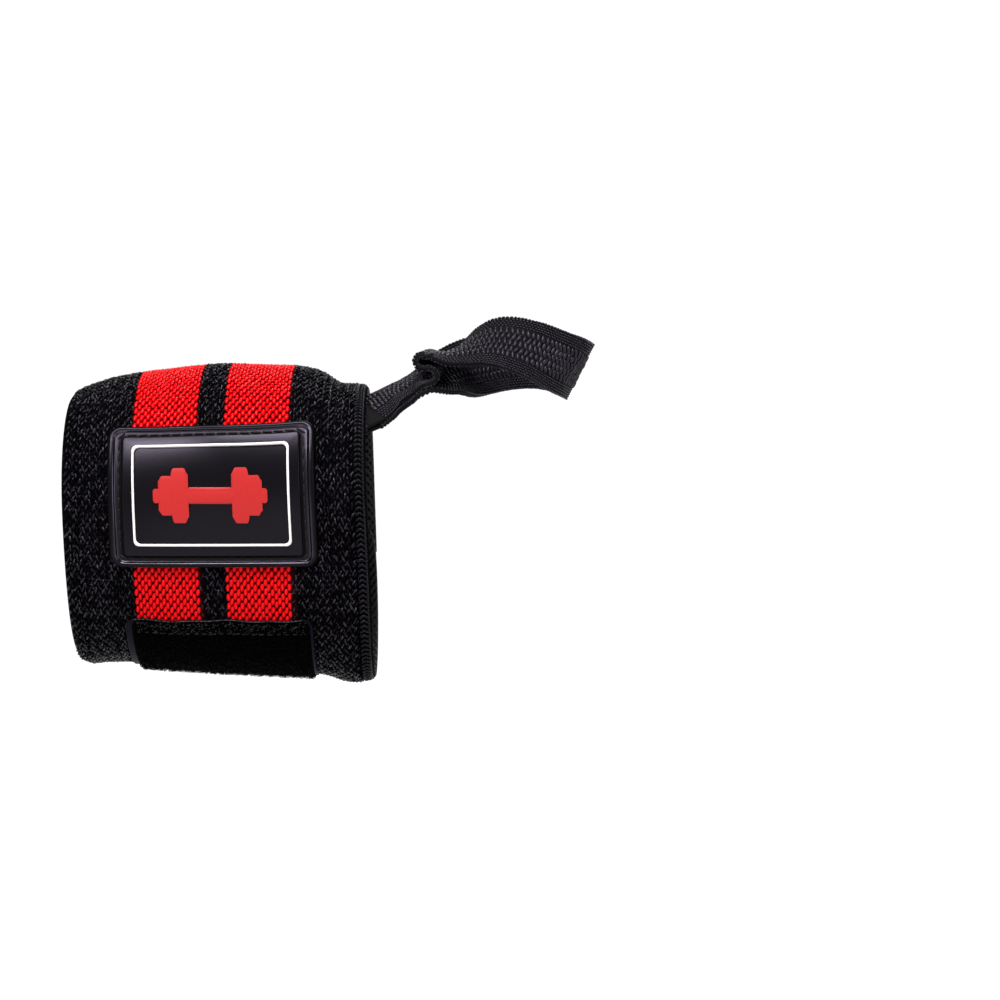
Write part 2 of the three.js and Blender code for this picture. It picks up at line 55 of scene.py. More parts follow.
# Floor: one wide pale disc, as a roll of studio paper, flat under the wrap. Its rim curves up all round,
# so that no horizon shows. It is painted matt, and only the stage: it isn't part of the object.
def linear(hex_colour):
    """The linear colour of an sRGB hex value such as "#e0e0e0"."""
    parts = [int(hex_colour[i : i + 2], 16) / 255 for i in (1, 3, 5)]
    return [p / 12.92 if p <= 0.04045 else ((p + 0.055) / 1.055) ** 2.4 for p in parts] + [1]


def set_inputs(node, **inputs):
    """Gives a node's inputs a value or another node's output. Base_Color is "Base Color", and _1 input 1."""
    for name, value in inputs.items():
        socket = node.inputs[int(name[1:]) if name[0] == "_" else name.replace("_", " ")]
        if isinstance(value, bpy.types.NodeSocket):
            node.id_data.links.new(value, socket)
        else:
            socket.default_value = value


def add(material, kind, settings=None, **inputs):
    """Adds a node with its settings, which are properties of the node, and its inputs."""
    node = material.node_tree.nodes.new(kind)
    for name, value in (settings or {}).items():
        setattr(node, name, value)
    set_inputs(node, **inputs)
    return node


def new_material(name, **values):
    """A material and its shader, with values that are the same all over the surface."""
    material = bpy.data.materials.new(name)
    material.use_nodes = True
    shader = material.node_tree.nodes["Principled BSDF"]
    set_inputs(shader, **values)
    return material, shader


def deselect():
    if bpy.context.object and bpy.context.object.mode != "OBJECT":
        bpy.ops.object.mode_set(mode="OBJECT")
    bpy.ops.object.select_all(action="DESELECT")


def new_grid(name, columns, rows):
    """A piece of columns x rows faces, with the column and row of each vertex."""
    deselect()
    bpy.ops.mesh.primitive_grid_add(x_subdivisions=columns, y_subdivisions=rows, size=1)
    piece = bpy.context.object
    piece.name = piece.data.name = name
    flat = np.empty(len(piece.data.vertices) * 3)
    piece.data.vertices.foreach_get("co", flat)
    shares = flat.reshape(-1, 3)[:, :2] + 0.5
    column, row = np.rint(shares * (columns, rows)).astype(int).T
    return piece, column, row


def mend(piece, merge=0, ends=False, inside=False):
    """Merges doubles nearer than merge, fills open ends, turns the faces out or in and shades them smooth."""
    deselect()
    piece.select_set(True)
    bpy.context.view_layer.objects.active = piece
    bpy.ops.object.mode_set(mode="EDIT")
    bpy.ops.mesh.select_all(action="SELECT")
    if merge:
        bpy.ops.mesh.remove_doubles(threshold=merge)
    if ends:
        bpy.ops.mesh.select_all(action="DESELECT")
        bpy.ops.mesh.select_non_manifold()
        bpy.ops.mesh.edge_face_add()
        bpy.ops.mesh.select_all(action="SELECT")
    bpy.ops.mesh.normals_make_consistent(inside=inside)
    bpy.ops.object.mode_set(mode="OBJECT")
    bpy.ops.object.shade_smooth()


floor_height = -0.135
floor_radius, rim_radius = 3.0, 1.5
floor_turns, floor_rings = 128, 24
flat_share = 0.5  # of the rings, from the middle outwards
floor, turn, ring = new_grid("floor", floor_turns, floor_rings)
turn = turn / floor_turns * 2 * math.pi
ring = ring / floor_rings
rise = np.clip((ring - flat_share) / (1 - flat_share), 0, 1) * math.pi / 2
flat_radius = np.minimum(ring / flat_share, 1) * floor_radius
radius = flat_radius + rim_radius * np.sin(rise)
height = floor_height + rim_radius * (1 - np.cos(rise))
floor_points = np.stack([radius * np.cos(turn), radius * np.sin(turn), height], axis=1)
floor.data.vertices.foreach_set("co", floor_points.ravel())
mend(floor, merge=1e-5, inside=True)
# Matt paint, so the backdrop shows no reflections. It glows behind the wrap, as the photo's white backdrop
# does, and less in front, so that black cloth stays black.
floor_paint, shader = new_material(
    "matt pale paint", Base_Color=linear("#787878"), Roughness=0.9, Emission_Color=linear("#ffffff")
)
here = add(floor_paint, "ShaderNodeTexCoord").outputs["Object"]
parts = add(floor_paint, "ShaderNodeSeparateXYZ", Vector=here)
glow = add(floor_paint, "ShaderNodeMapRange", _0=parts.outputs["Y"], _1=-2.2, _2=0, _3=0.3, _4=0.95)
set_inputs(shader, Emission_Strength=glow.outputs[0])
floor.data.materials.append(floor_paint)

# Light: a pale sky all round, one bright lamp high on the left, a broad one overhead, a fill on the right and
# one behind. The lamps are small and bright, so that black yarn shows short glints and no grey haze.
world = bpy.data.worlds.new("studio")
bpy.context.scene.world = world
world.use_nodes = True
set_inputs(world.node_tree.nodes["Background"], Color=linear("#ffffff"), Strength=0.12)
bpy.context.scene.view_settings.view_transform = "Standard"


def soft_lamp(name, place, size, power):
    data = bpy.data.lights.new(name, "AREA")
    data.shape = "RECTANGLE"
    data.size, data.size_y = size
    data.energy = power
    lamp = bpy.data.objects.new(name, data)
    lamp.location = place
    lamp.rotation_euler = (-Vector(place)).to_track_quat("-Z", "Y").to_euler()
    bpy.context.collection.objects.link(lamp)


soft_lamp("key lamp", (-0.5, -0.8, 0.75), (0.2, 0.2), 9)
soft_lamp("overhead lamp", (0.05, -0.68, 1.02), (0.5, 0.35), 20)
soft_lamp("fill lamp", (0.95, -0.7, 0.3), (0.4, 0.6), 3.2)
soft_lamp("back lamp", (0.3, 0.75, 1.0), (0.6, 0.6), 6)

# Elastic webbing: one 80 mm strip of woven polyester over rubber threads, black with two red stripes.
# It is wound about two and a half times round an open hollow, each turn on the last. Winding angles are
# in degrees: 0 faces the front, 90 the top and 180 the back, and they go on past 360.
clearance = 0.0003
band_width = 0.080
band_thickness = 0.0018
band_start, band_end = 40, 920  # winding angles
band_skew = 0.001  # how far the turns lean towards the elbow at the top, and towards the hand at the bottom
wrist_height, wrist_depth = 0.068, 0.044
hollow_roundness = 2.15  # the outline's power: 2 is an ellipse, and more is squarer
turn_pitch = band_thickness + clearance
strap_width, strap_thickness = 0.017, 0.0015
strap_pitch = strap_thickness + clearance
strap_angle = 69  # the winding angle at which the thumb strap's two plies are sewn in
strap_tuck = 0.032
strap_room = 2 * strap_pitch + 0.7 * clearance

# The hollow's half sizes along its length: shares of wrist_height and wrist_depth.
hollow_rows = np.array(
    # along, top, bottom, front, back
    [
        (-0.5, 0.432, 0.46, 0.466, 0.459),
        (-0.46, 0.456, 0.478, 0.484, 0.477),
        (-0.42, 0.474, 0.474, 0.493, 0.489),
        (-0.36, 0.495, 0.472, 0.5, 0.5),
        (-0.27, 0.505, 0.476, 0.507, 0.505),
        (-0.15, 0.502, 0.486, 0.511, 0.507),
        (0, 0.497, 0.496, 0.511, 0.505),
        (0.15, 0.491, 0.505, 0.509, 0.5),
        (0.27, 0.486, 0.512, 0.507, 0.495),
        (0.35, 0.463, 0.53, 0.505, 0.491),
        (0.41, 0.419, 0.552, 0.505, 0.486),
        (0.455, 0.415, 0.554, 0.507, 0.484),
        (0.5, 0.413, 0.546, 0.507, 0.48),
    ]
)
edge_rows = np.array(
    # winding angle, left edge and right edge as shares of band_width
    [
        (0, -0.47, 0.46),
        (220, -0.47, 0.455),
        (360, -0.475, 0.42),
        (440, -0.48, 0.405),
        (510, -0.485, 0.425),
        (560, -0.5, 0.5),
        (1000, -0.5, 0.5),
    ]
)


def smooth_table(rows, column, place):
    """A column of a table at places of its first column, by a smooth curve through its rows."""
    key, value = rows[:, 0], rows[:, column]
    place = np.clip(place, key[0], key[-1])
    i = np.clip(np.searchsorted(key, place, side="right") - 1, 0, len(key) - 2)
    before, after = np.maximum(np.arange(len(key)) - 1, 0), np.minimum(np.arange(len(key)) + 1, len(key) - 1)
    slope = (value[after] - value[before]) / (key[after] - key[before])
    span = key[i + 1] - key[i]
    t = (place - key[i]) / span
    return (
        (2 * t**3 - 3 * t**2 + 1) * value[i]
        + (t**3 - 2 * t**2 + t) * span * slope[i]
        + (3 * t**2 - 2 * t**3) * value[i + 1]
        + (t**3 - t**2) * span * slope[i + 1]
    )


def smoothstep(x, low, high):
    t = np.clip((x - low) / (high - low), 0, 1)
    return t * t * (3 - 2 * t)


def hollow_outline(angle, along):
    c, s = np.cos(np.radians(angle)), np.sin(np.radians(angle))
    top, bottom, front, back = (smooth_table(hollow_rows, side, along) for side in (1, 2, 3, 4))
    depth = wrist_depth * np.where(c > 0, front, back)
    height = wrist_height * np.where(s > 0, top, bottom)
    total = np.abs(c / depth) ** hollow_roundness + np.abs(s / height) ** hollow_roundness
    radius = total ** (-1 / hollow_roundness)
    return np.stack([-c * radius, s * radius], axis=-1)


def wrist_point(angle, along, height):
    """Points at a height above the hollow's surface, measured square to its outline."""
    angle, along, height = np.broadcast_arrays(*(np.asarray(v, float) for v in (angle, along, height)))
    here = hollow_outline(angle, along)
    step = hollow_outline(angle + 1, along) - hollow_outline(angle - 1, along)
    step /= np.linalg.norm(step, axis=-1, keepdims=True)
    x = along * band_width - band_skew * np.sin(np.radians(angle))
    return np.stack([x, here[..., 0] - step[..., 1] * height, here[..., 1] + step[..., 0] * height], axis=-1)


def distance(a, b):
    return np.linalg.norm(np.asarray(a) - np.asarray(b), axis=-1)


strap_arc = distance(wrist_point(strap_angle - 0.5, 0.5, 0), wrist_point(strap_angle + 0.5, 0.5, 0))
strap_half_angle = strap_width / 2 / strap_arc
lift_margin, lift_shoulder = 6, 75  # degrees on either side of the plies: flat over them, then falling away
lift_start = -0.4  # the turns start to rise here, as a share of the band's width, and lie on the plies at
lift_full = 0.5 - (strap_tuck + 0.003) / band_width
section_step = 10  # the CAD band has a section every 10 degrees, and this one follows it between them


def strap_share(angle, along):
    """How far the turns above the thumb strap are lifted by its two plies, from 0 to 1."""

    def around(section):
        aside = np.abs((section * section_step - strap_angle + 540) % 360 - 180)
        return smoothstep(strap_half_angle + lift_margin + lift_shoulder - aside, 0, lift_shoulder)

    place = angle / section_step
    section = np.floor(place)
    share = around(section) + (around(section + 1) - around(section)) * (place - section)
    return share * smoothstep(along, lift_start, lift_full)


def band_lift(angle, along):
    over_strap = np.asarray(angle) > strap_angle + 180
    return turn_pitch * (np.asarray(angle) - band_start) / 360 + np.where(
        over_strap, strap_room * strap_share(np.asarray(angle) % 360, along), 0
    )


def band_point(angle, along, height):
    """Points on the band, at a height from its inner face."""
    return wrist_point(angle, along, band_lift(angle, along) + height)


# Lengths along the band are measured on its outer face, half way across, from a little before its inner
# end to well past its outer end, where the hook tape goes on.
length_angles = np.arange(band_start - 40, band_end + 80, 0.5)
length_points = band_point(length_angles, 0, band_thickness)
lengths = np.concatenate([[0], np.cumsum(distance(length_points[1:], length_points[:-1]))])


def length_at(angle):
    return np.interp(angle, length_angles, lengths)


def angle_at(length):
    return np.interp(length, lengths, length_angles)


def wrapped_grid(name, across, along, place, ring=False):
    """A closed piece from a grid whose short way runs round a section and whose long way runs along it.

    across and along are the section's and the length's positions in metres, kept as the UV map.
    place(i, j) gives the points of length row i and section column j. A ring's last row meets its first.
    """
    rows, columns = len(along), len(across)
    piece, j, i = new_grid(name, columns, rows if ring else rows - 1)
    mesh = piece.data
    mesh.vertices.foreach_set("co", place(i % rows, j % columns).astype(float).ravel())
    corners = np.empty(len(mesh.loops), dtype=int)
    mesh.loops.foreach_get("vertex_index", corners)
    uv = np.stack([across[j[corners] % columns], along[i[corners] % rows]], axis=1)
    mesh.uv_layers.active.data.foreach_set("uv", uv.ravel())
    mend(piece, merge=1e-6, ends=not ring)
    return piece


def fit(piece, slot, *materials, node=None):
    """Makes a finished piece part of the object: the CAD node it stands for, its body and materials. slot is
    not used.
    """
    if node:
        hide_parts(node)
    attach(piece, "root")
    for material in materials:
        piece.data.materials.append(material)


# The band's section, as shares of its width and thickness: round selvedges, each set off by a shallow furrow.
furrow = [(0.438, 1), (0.446, 0.82), (0.452, 0.72), (0.458, 0.82), (0.466, 1)]
selvedge = furrow + [(0.482, 1.02), (0.494, 0.9), (0.5, 0.6)]
outer_face = [(across, 1) for across in np.linspace(-0.42, 0.42, 29)]
inner_face = [(across, 0) for across in np.linspace(0.45, -0.45, 19)]
round_under = [(0.496, 0.2), (0.48, 0.02)]
section = np.array(
    [(-across, up) for across, up in reversed(selvedge)]
    + outer_face
    + selvedge
    + round_under
    + inner_face
    + [(-across, up) for across, up in reversed(round_under)]
)
band_angles = np.arange(band_start, band_end + 0.1, 2.5)


def band_place(i, j):
    angle = band_angles[i]
    left, right = (smooth_table(edge_rows, side, angle) for side in (1, 2))
    along = left + (right - left) * (section[j, 0] + 0.5)
    return band_point(angle, along, band_thickness * section[j, 1])


band = wrapped_grid("elastic_webbing", section[:, 0] * band_width, length_at(band_angles), band_place)
# Stripes and weave: two red stripes either side of the middle, measured from it.
red_inner, red_outer = 0.0036, 0.0207
bead_width, bead_length = 0.0009, 0.0026  # one rib's width, and one float's length with its gap


def woven_pattern(material, across_wave):
    """The red stripes' share and the weave's height over the band, from its UV map in metres."""
    uv = add(material, "ShaderNodeUVMap", {"uv_map": band.data.uv_layers.active.name})
    parts = add(material, "ShaderNodeSeparateXYZ", Vector=uv.outputs[0])
    aside = add(material, "ShaderNodeMath", {"operation": "ABSOLUTE"}, _0=parts.outputs[0])
    past = add(material, "ShaderNodeMath", {"operation": "GREATER_THAN"}, _0=aside.outputs[0], _1=red_inner)
    within = add(material, "ShaderNodeMath", {"operation": "LESS_THAN"}, _0=aside.outputs[0], _1=red_outer)
    stripe = add(
        material, "ShaderNodeMath", {"operation": "MULTIPLY"}, _0=past.outputs[0], _1=within.outputs[0]
    )
    waves = []
    for part, wave, turn in ((0, across_wave, math.pi / bead_width), (1, "SINE", 2 * math.pi / bead_length)):
        angle = add(material, "ShaderNodeMath", {"operation": "MULTIPLY"}, _0=parts.outputs[part], _1=turn)
        waves.append(add(material, "ShaderNodeMath", {"operation": wave}, _0=angle.outputs[0]).outputs[0])
    weave = add(material, "ShaderNodeMath", {"operation": "MULTIPLY"}, _0=waves[0], _1=waves[1])
    return stripe.outputs[0], weave.outputs[0]


# Woven polyester: nearly black, also under the red stripes, as painted shade in the gaps between its floats,
# and without a shine of its own.
webbing, shader = new_material("woven polyester under the ribs", Roughness=0.8, Specular_IOR_Level=0.015)
stripe, weave = woven_pattern(webbing, "SINE")
colour = add(
    webbing, "ShaderNodeMix", {"data_type": "RGBA"}, Factor=stripe, _6=linear("#020203"), _7=linear("#240003")
)
bump = add(webbing, "ShaderNodeBump", Height=weave, Distance=0.0003, Strength=0.8)
set_inputs(shader, Base_Color=colour.outputs[2], Normal=bump.outputs[0])

# The side that is worn has no floats as shapes, so its yarns are painted on: painted light on their crests
# and painted shade in the gaps between them.
inside, shader = new_material("woven polyester, the side that is worn", Roughness=0.6, Specular_IOR_Level=0.2)
stripe, weave = woven_pattern(inside, "COSINE")
colour = add(
    inside, "ShaderNodeMix", {"data_type": "RGBA"}, Factor=stripe, _6=linear("#0c0b0d"), _7=linear("#b40008")
)
lit = add(inside, "ShaderNodeMapRange", _0=weave, _1=-0.6, _2=0.4, _3=0.1, _4=1)
shaded = add(
    inside,
    "ShaderNodeMix",
    {"data_type": "RGBA"},
    Factor=lit.outputs[0],
    _6=linear("#020202"),
    _7=colour.outputs[2],
)
bump = add(inside, "ShaderNodeBump", Height=weave, Distance=0.0004, Strength=1)
set_inputs(shader, Base_Color=shaded.outputs[2], Normal=bump.outputs[0])
fit(band, "elastic_webbing", webbing, inside, node="elastic_band")
for polygon in band.data.polygons:
    if polygon.normal.y * polygon.center.y + polygon.normal.z * polygon.center.z < 0:
        polygon.material_index = 1

# The ribs of the webbing: spun polyester warp yarns that show as rows of rice-shaped floats, each row set
# half a float on from the last. Only the outer turn has them as shapes, because the others are covered.
float_random = np.random.default_rng(7)


def bead_shape(sides, rings, flatten):
    """A rice-shaped float 1 long, 1 wide and 1 high, from a sphere pressed flatter underneath."""
    deselect()
    bpy.ops.mesh.primitive_uv_sphere_add(segments=sides, ring_count=rings, radius=0.5, calc_uvs=False)
    sphere = bpy.context.object
    corners = np.array([v.co for v in sphere.data.vertices])
    faces = [list(p.vertices) for p in sphere.data.polygons]
    corners = corners[:, [2, 0, 1]] * [1, -1, 1]
    corners[:, 1:] *= 1 + 0.26 * np.abs(corners[:, :1] * 2)
    corners[:, 2] = np.where(corners[:, 2] < 0, corners[:, 2] * flatten, corners[:, 2])
    bpy.data.objects.remove(sphere)
    return corners, faces


def scatter(name, slot, material, shape, place, along, across, size, lean):
    """One piece of many copies of a shape. along and across are unit directions on the cloth under each."""
    corners, faces = shape
    count = len(place)
    up = np.cross(across, along)
    up /= np.linalg.norm(up, axis=1, keepdims=True)
    side = np.cross(along, up)
    c, s = np.cos(lean)[:, None], np.sin(lean)[:, None]
    ways = (along * c + side * s, side * c - along * s, up)
    points = place[:, None]
    for axis, way in enumerate(ways):
        points = points + corners[None, :, axis, None] * (way * size[:, axis : axis + 1])[:, None]
    offsets = np.arange(count)[:, None] * len(corners)
    loops = np.concatenate([np.array(polygon) + offsets for polygon in faces], axis=1)
    totals = np.tile([len(polygon) for polygon in faces], count)
    mesh = bpy.data.meshes.new(name)
    mesh.vertices.add(count * len(corners))
    mesh.vertices.foreach_set("co", points.ravel())
    mesh.loops.add(loops.size)
    mesh.loops.foreach_set("vertex_index", loops.ravel())
    mesh.polygons.add(len(totals))
    mesh.polygons.foreach_set("loop_start", np.cumsum(totals) - totals)
    mesh.polygons.foreach_set("loop_total", totals)
    mesh.update(calc_edges=True)
    mesh.validate()
    raised = mesh.attributes.new("raised", "FLOAT", "POINT")
    raised.data.foreach_set("value", np.tile(corners[:, 2] * 2, count))
    piece = bpy.data.objects.new(name, mesh)
    bpy.context.collection.objects.link(piece)
    mend(piece)
    fit(piece, slot, material)
    return piece


def band_frame(angle, along, height):
    """Points on the band with unit directions along and across it."""
    ahead = band_point(angle + 0.5, along, height) - band_point(angle - 0.5, along, height)
    aside = band_point(angle, along + 0.005, height) - band_point(angle, along - 0.005, height)
    ahead /= np.linalg.norm(ahead, axis=1, keepdims=True)
    aside /= np.linalg.norm(aside, axis=1, keepdims=True)
    return band_point(angle, along, height), ahead, aside


last_turn = 548  # the winding angle at which the outer turn starts
ribs_left, ribs_right = 0.0387, 0.0378  # how far the ribs reach from the band's middle
columns = np.arange(-round(ribs_left / bead_width), round(ribs_right / bead_width))
first, last = length_at(last_turn), length_at(band_end) - 0.001
rows = np.arange(int((last - first) / bead_length))
column, row = (grid.ravel() for grid in np.meshgrid(columns, rows))
x = (column + 0.5) * bead_width
red = (np.abs(x) > red_inner) & (np.abs(x) < red_outer)
along_band = first + (row + 0.25 + (column % 2) * 0.5) * bead_length

# What covers floats is sized here: the patch, the loop tape and the hook tape, which their own sections make.
patch_width, patch_height = 0.055, 0.0377
patch_middle = length_at(736) + 0.0004
tape_width, hook_lap = 0.050, 0.020
panel_front = length_at(670) - 0.0013
panel_back = length_at(float(angle_at(length_at(band_end) + 0.004)) - 360)
hidden_margin, hidden_end_margin = 0.002, 0.003


def in_sight(x, along_band):
    """Whether floats show: those well under the patch, the loop tape or the hook tape are left out."""
    shows = np.ones(len(x), bool)
    for width, start, stop in (
        (patch_width, patch_middle - patch_height / 2, patch_middle + patch_height / 2),
        (tape_width, panel_back, panel_front),
        (tape_width, length_at(band_end) - hook_lap, length_at(band_end)),
    ):
        beside = np.abs(x) > width / 2 - hidden_margin
        shows &= beside | (along_band < start + hidden_end_margin) | (along_band > stop - hidden_end_margin)
    return shows


shows = in_sight(x, along_band)
column, row, x, along_band, red = (values[shows] for values in (column, row, x, along_band, red))
x = x + float_random.normal(0, 0.00004, len(x))
along_band = along_band + float_random.normal(0, 0.00008, len(x))
grain = bead_shape(6, 5, 0.4)
rib_sink = 0.00018  # how deep a float's middle lies below the webbing's face
front_wander, bottom_wander = 0.0005, 0.0009  # how far the ribs stray to the left at the front and the bottom
rib_height = 0.0013
yarn_lean = 0.1
per_mm = 1000  # a noise's scale is given as its patches to a millimetre
violet = "#efe0ff"  # the cast of the glints on black yarn and rubber


def mottled(material, dark, light, patches, **noise):
    """A yarn's colour, in patches of two shades, so many to a millimetre."""
    here = add(material, "ShaderNodeTexCoord").outputs["Object"]
    mottle = add(material, "ShaderNodeTexNoise", Vector=here, Scale=patches * per_mm, **noise).outputs[0]
    shades = {"_6": linear(dark), "_7": linear(light)}
    return add(material, "ShaderNodeMix", {"data_type": "RGBA"}, Factor=mottle, **shades).outputs[2]


# Spun polyester yarn: hairy fibres that blur each float's glint, drawn coarser than real ones so that they
# show. Only a float's crest shines, and the black ones not all alike, because some lie deeper in the shade.
for name, chosen, tilt, tilt_spread, wide, (foot_shade, dark, light), hairiness, roughness, tint, (least, most) in (
    # tilt is a float's lean to either side in radians, wide its width as a share of a rib's, and the first of
    # the three colours is a painted shade at the float's foot
    ("red_ribs", red, 0.05, 0.07, 1.3, ("#640003", "#b80003", "#e80007"), 0.5, 0.27, "#ffffff", (0.13, 0.13)),
    ("black_ribs", ~red, 0.4, 0.14, 0.85, ("#010101", "#010101", "#070509"), 1, 0.22, violet, (0.02, 0.5)),
):
    material, shader = new_material(
        "spun polyester yarn, " + name.split("_")[0], Roughness=roughness, Specular_Tint=linear(tint)
    )
    here = add(material, "ShaderNodeTexCoord").outputs["Object"]
    fibre, depth = (
        add(material, "ShaderNodeTexNoise", Vector=here, Scale=patches * per_mm, Detail=detail).outputs[0]
        for patches, detail in ((2, 3), (0.65, 1))
    )
    colour = mottled(material, dark, light, 0.9, Detail=3)
    raised = add(material, "ShaderNodeAttribute", {"attribute_name": "raised"})
    crest = add(material, "ShaderNodeMapRange", _0=raised.outputs["Fac"], _1=0, _2=0.9, _3=0, _4=1).outputs[0]
    # Painted shade: each float's colour darkens towards its foot, where its neighbours would shade it.
    shaded = add(
        material, "ShaderNodeMix", {"data_type": "RGBA"}, Factor=crest, _6=linear(foot_shade), _7=colour
    )
    level = add(material, "ShaderNodeMapRange", _0=depth, _1=0.42, _2=0.68, _3=least, _4=most).outputs[0]
    shine = add(material, "ShaderNodeMath", {"operation": "MULTIPLY"}, _0=crest, _1=level)
    bump = add(material, "ShaderNodeBump", Height=fibre, Distance=0.0003, Strength=hairiness)
    set_inputs(
        shader, Base_Color=shaded.outputs[2], Specular_IOR_Level=shine.outputs[0], Normal=bump.outputs[0]
    )

    angle = angle_at(along_band[chosen])
    turned = np.radians(angle)
    wander = bottom_wander * np.minimum(np.sin(turned), 0) - front_wander * np.maximum(np.cos(turned), 0)
    place, ahead, aside = band_frame(angle, (x[chosen] + wander) / band_width, band_thickness - rib_sink)
    count = chosen.sum()
    size = np.stack(
        [
            bead_length * float_random.normal(0.87, 0.03, count),
            bead_width * float_random.normal(wide, 0.05, count),
            rib_height * float_random.normal(1, 0.07, count),
        ],
        axis=1,
    )
    lean = yarn_lean + np.where(column[chosen] % 2, tilt, -tilt) + float_random.normal(0, tilt_spread, count)
    scatter(name, "elastic_webbing", material, grain, place, ahead, aside, size, lean)

# Binding yarns: finer polyester yarns that tie the black ribs down over the rubber threads. They cross the
# gaps between the ribs and lean the other way. They are of the same black yarn, the last material above.
slim_grain = bead_shape(5, 4, 0.4)
binder_size = [0.0017, 0.0004, 0.0009]
binder_tilt, binder_reach, binder_sink = 0.55, 0.0374, 0.0002
chosen = ~red & (np.abs(x) < binder_reach)
angle = angle_at(along_band[chosen] + bead_length / 4)
place, ahead, aside = band_frame(
    angle, (x[chosen] + bead_width / 2) / band_width, band_thickness - binder_sink
)
size = binder_size * float_random.normal(1, 0.12, (chosen.sum(), 3))
lean = yarn_lean - np.where(column[chosen] % 2, binder_tilt, -binder_tilt)
lean = lean + float_random.normal(0, 0.2, chosen.sum())
scatter("binding_yarns", "elastic_webbing", material, slim_grain, place, ahead, aside, size, lean)

# Selvedge stitches: the webbing's woven edges, where the weft turns back. Each shows as a column of
# small chevrons on the edge's rounded bead, with a fine column of yarn beside it.
# Charcoal yarn, spun as the ribs' yarn is and a little paler, so that the chevrons stand out from the band.
edge_yarn, shader = new_material(
    "spun polyester yarn, charcoal", Roughness=0.3, Specular_IOR_Level=0.17, Specular_Tint=linear(violet)
)
set_inputs(shader, Base_Color=mottled(edge_yarn, "#040405", "#0f0e11", 0.9))

chevron_pitch, chevron_lean, chevron_size, chevron_rise = 0.0014, 0.95, (0.0015, 0.00055, 0.0007), 1.04
columns = []
for inset, pitch, lean, size, rise in (
    # from the band's right edge, and rise as a share of the band's thickness
    (0.00253, chevron_pitch, chevron_lean, chevron_size, chevron_rise),
    (0.00157, chevron_pitch, -chevron_lean, chevron_size, chevron_rise),
    (0.0008, 0.0009, 0, (0.0009, 0.0006, 0.0007), 0.95),
):
    along_band = np.arange(first, last, pitch)
    x = smooth_table(edge_rows, 2, angle_at(along_band)) * band_width - inset
    same = np.tile((lean, *size, rise), (len(x), 1)).T
    columns.append(np.stack([along_band, x, *same]))
along_band, x, lean, *size, rise = np.concatenate(columns, axis=1)
size = np.stack(size, axis=1) * float_random.normal(1, 0.05, (len(x), 3))
place, ahead, aside = band_frame(angle_at(along_band), x / band_width, band_thickness * rise - 0.0001)
scatter("selvedge_yarn", "elastic_webbing", edge_yarn, grain, place, ahead, aside, size, lean)

# Thumb strap: a 17 mm woven polypropylene tape with fine ribbed edges, folded in two with both ends sewn in
# under the band. It leaves the wrap as two plies, curls over once and opens into a loop.
strap_rise = 0.05  # the share of the band's width over which the plies rise to the outer turn's underside
loop_reach, loop_rise, loop_depth = 0.058, 0.015, 0.022
curl_radius = 0.0016
free_ply_pitch = 1.1 * strap_pitch
stem_rows = [
    # reach, depth and rise as shares of the loop's sizes, the direction across the strap, and its cup
    (0.09, 0.13, 0.17, -0.05, 0.93, 0.33, 0.7),
    (0.17, 0.2, 0.33, -0.06, 0.94, 0.3, 0.5),
    (0.245, 0.25, 0.48, -0.04, 0.95, 0.25, 0.3),
]
kink_row = (0.311, 0.27, 0.745, 0.14, 1, 0.16, 0.1)
front_rows = [
    (0.35, 0.25, 1.04, 0.03, 1, 0.07, 0.05),
    (0.396, 0.2, 1.055, 0.08, 0.98, 0.18, 0.05),
    (0.448, 0.13, 1.105, 0.14, 0.88, 0.42, 0.05),
    (0.509, 0.055, 1.18, 0.22, 0.73, 0.63, 0.05),
    (0.574, -0.01, 1.245, 0.28, 0.6, 0.74, 0.05),
    (0.644, -0.045, 1.25, 0.33, 0.53, 0.78, 0.05),
    (0.723, -0.05, 1.187, 0.36, 0.48, 0.8, 0.05),
    (0.806, -0.01, 1.075, 0.39, 0.42, 0.82, 0),
    (0.891, 0.12, 0.93, 0.42, 0.28, 0.86, 0),
    (0.968, 0.34, 0.82, 0.45, 0.1, 0.89, 0),
    (1, 0.59, 0.777, 0.45, 0, 0.89, 0),
    (0.985, 0.81, 0.86, 0.43, -0.12, 0.89, 0),
    (0.918, 0.97, 0.97, 0.38, -0.18, 0.9, 0),
    (0.803, 1.04, 1.05, 0.3, -0.12, 0.94, 0),
    (0.668, 1, 1.02, 0.2, 0.05, 0.97, 0),
    (0.534, 0.85, 0.9, 0.1, 0.3, 0.94, 0.05),
    (0.431, 0.64, 0.76, 0.03, 0.62, 0.76, 0.1),
    (0.34, 0.42, 0.61, -0.03, 0.86, 0.48, 0.2),
]


def strap_height(ply, along):
    low = band_lift(strap_angle, along) + band_thickness + clearance
    high = band_lift(strap_angle + 720, along) - 2 * strap_pitch
    edge = smooth_table(edge_rows, 2, strap_angle + 360) + clearance / band_width
    risen = low + (high - low) * smoothstep(along, edge, edge + strap_rise)
    return risen + ply * strap_pitch + strap_thickness / 2


def tucked_point(ply, along, side):
    return wrist_point(strap_angle + side * strap_half_angle, along, strap_height(ply, along))


exit_edges = tucked_point(0, 0.5, np.array([-1, 1]))
exit_middle = [tucked_point(ply, 0.5, 0) for ply in (0, 1)]
exit_across = (exit_edges[1] - exit_edges[0]) / distance(*exit_edges)
exit_cup = exit_middle[0][2] - exit_edges[:, 2].mean()


def free_station(row, ply):
    centre = exit_middle[0] + np.array(row[:3]) * (loop_reach, loop_depth, loop_rise)
    across = np.array(row[3:6]) / np.linalg.norm(row[3:6])
    return centre + (0, 0, ply * free_ply_pitch), across, row[6] * exit_cup


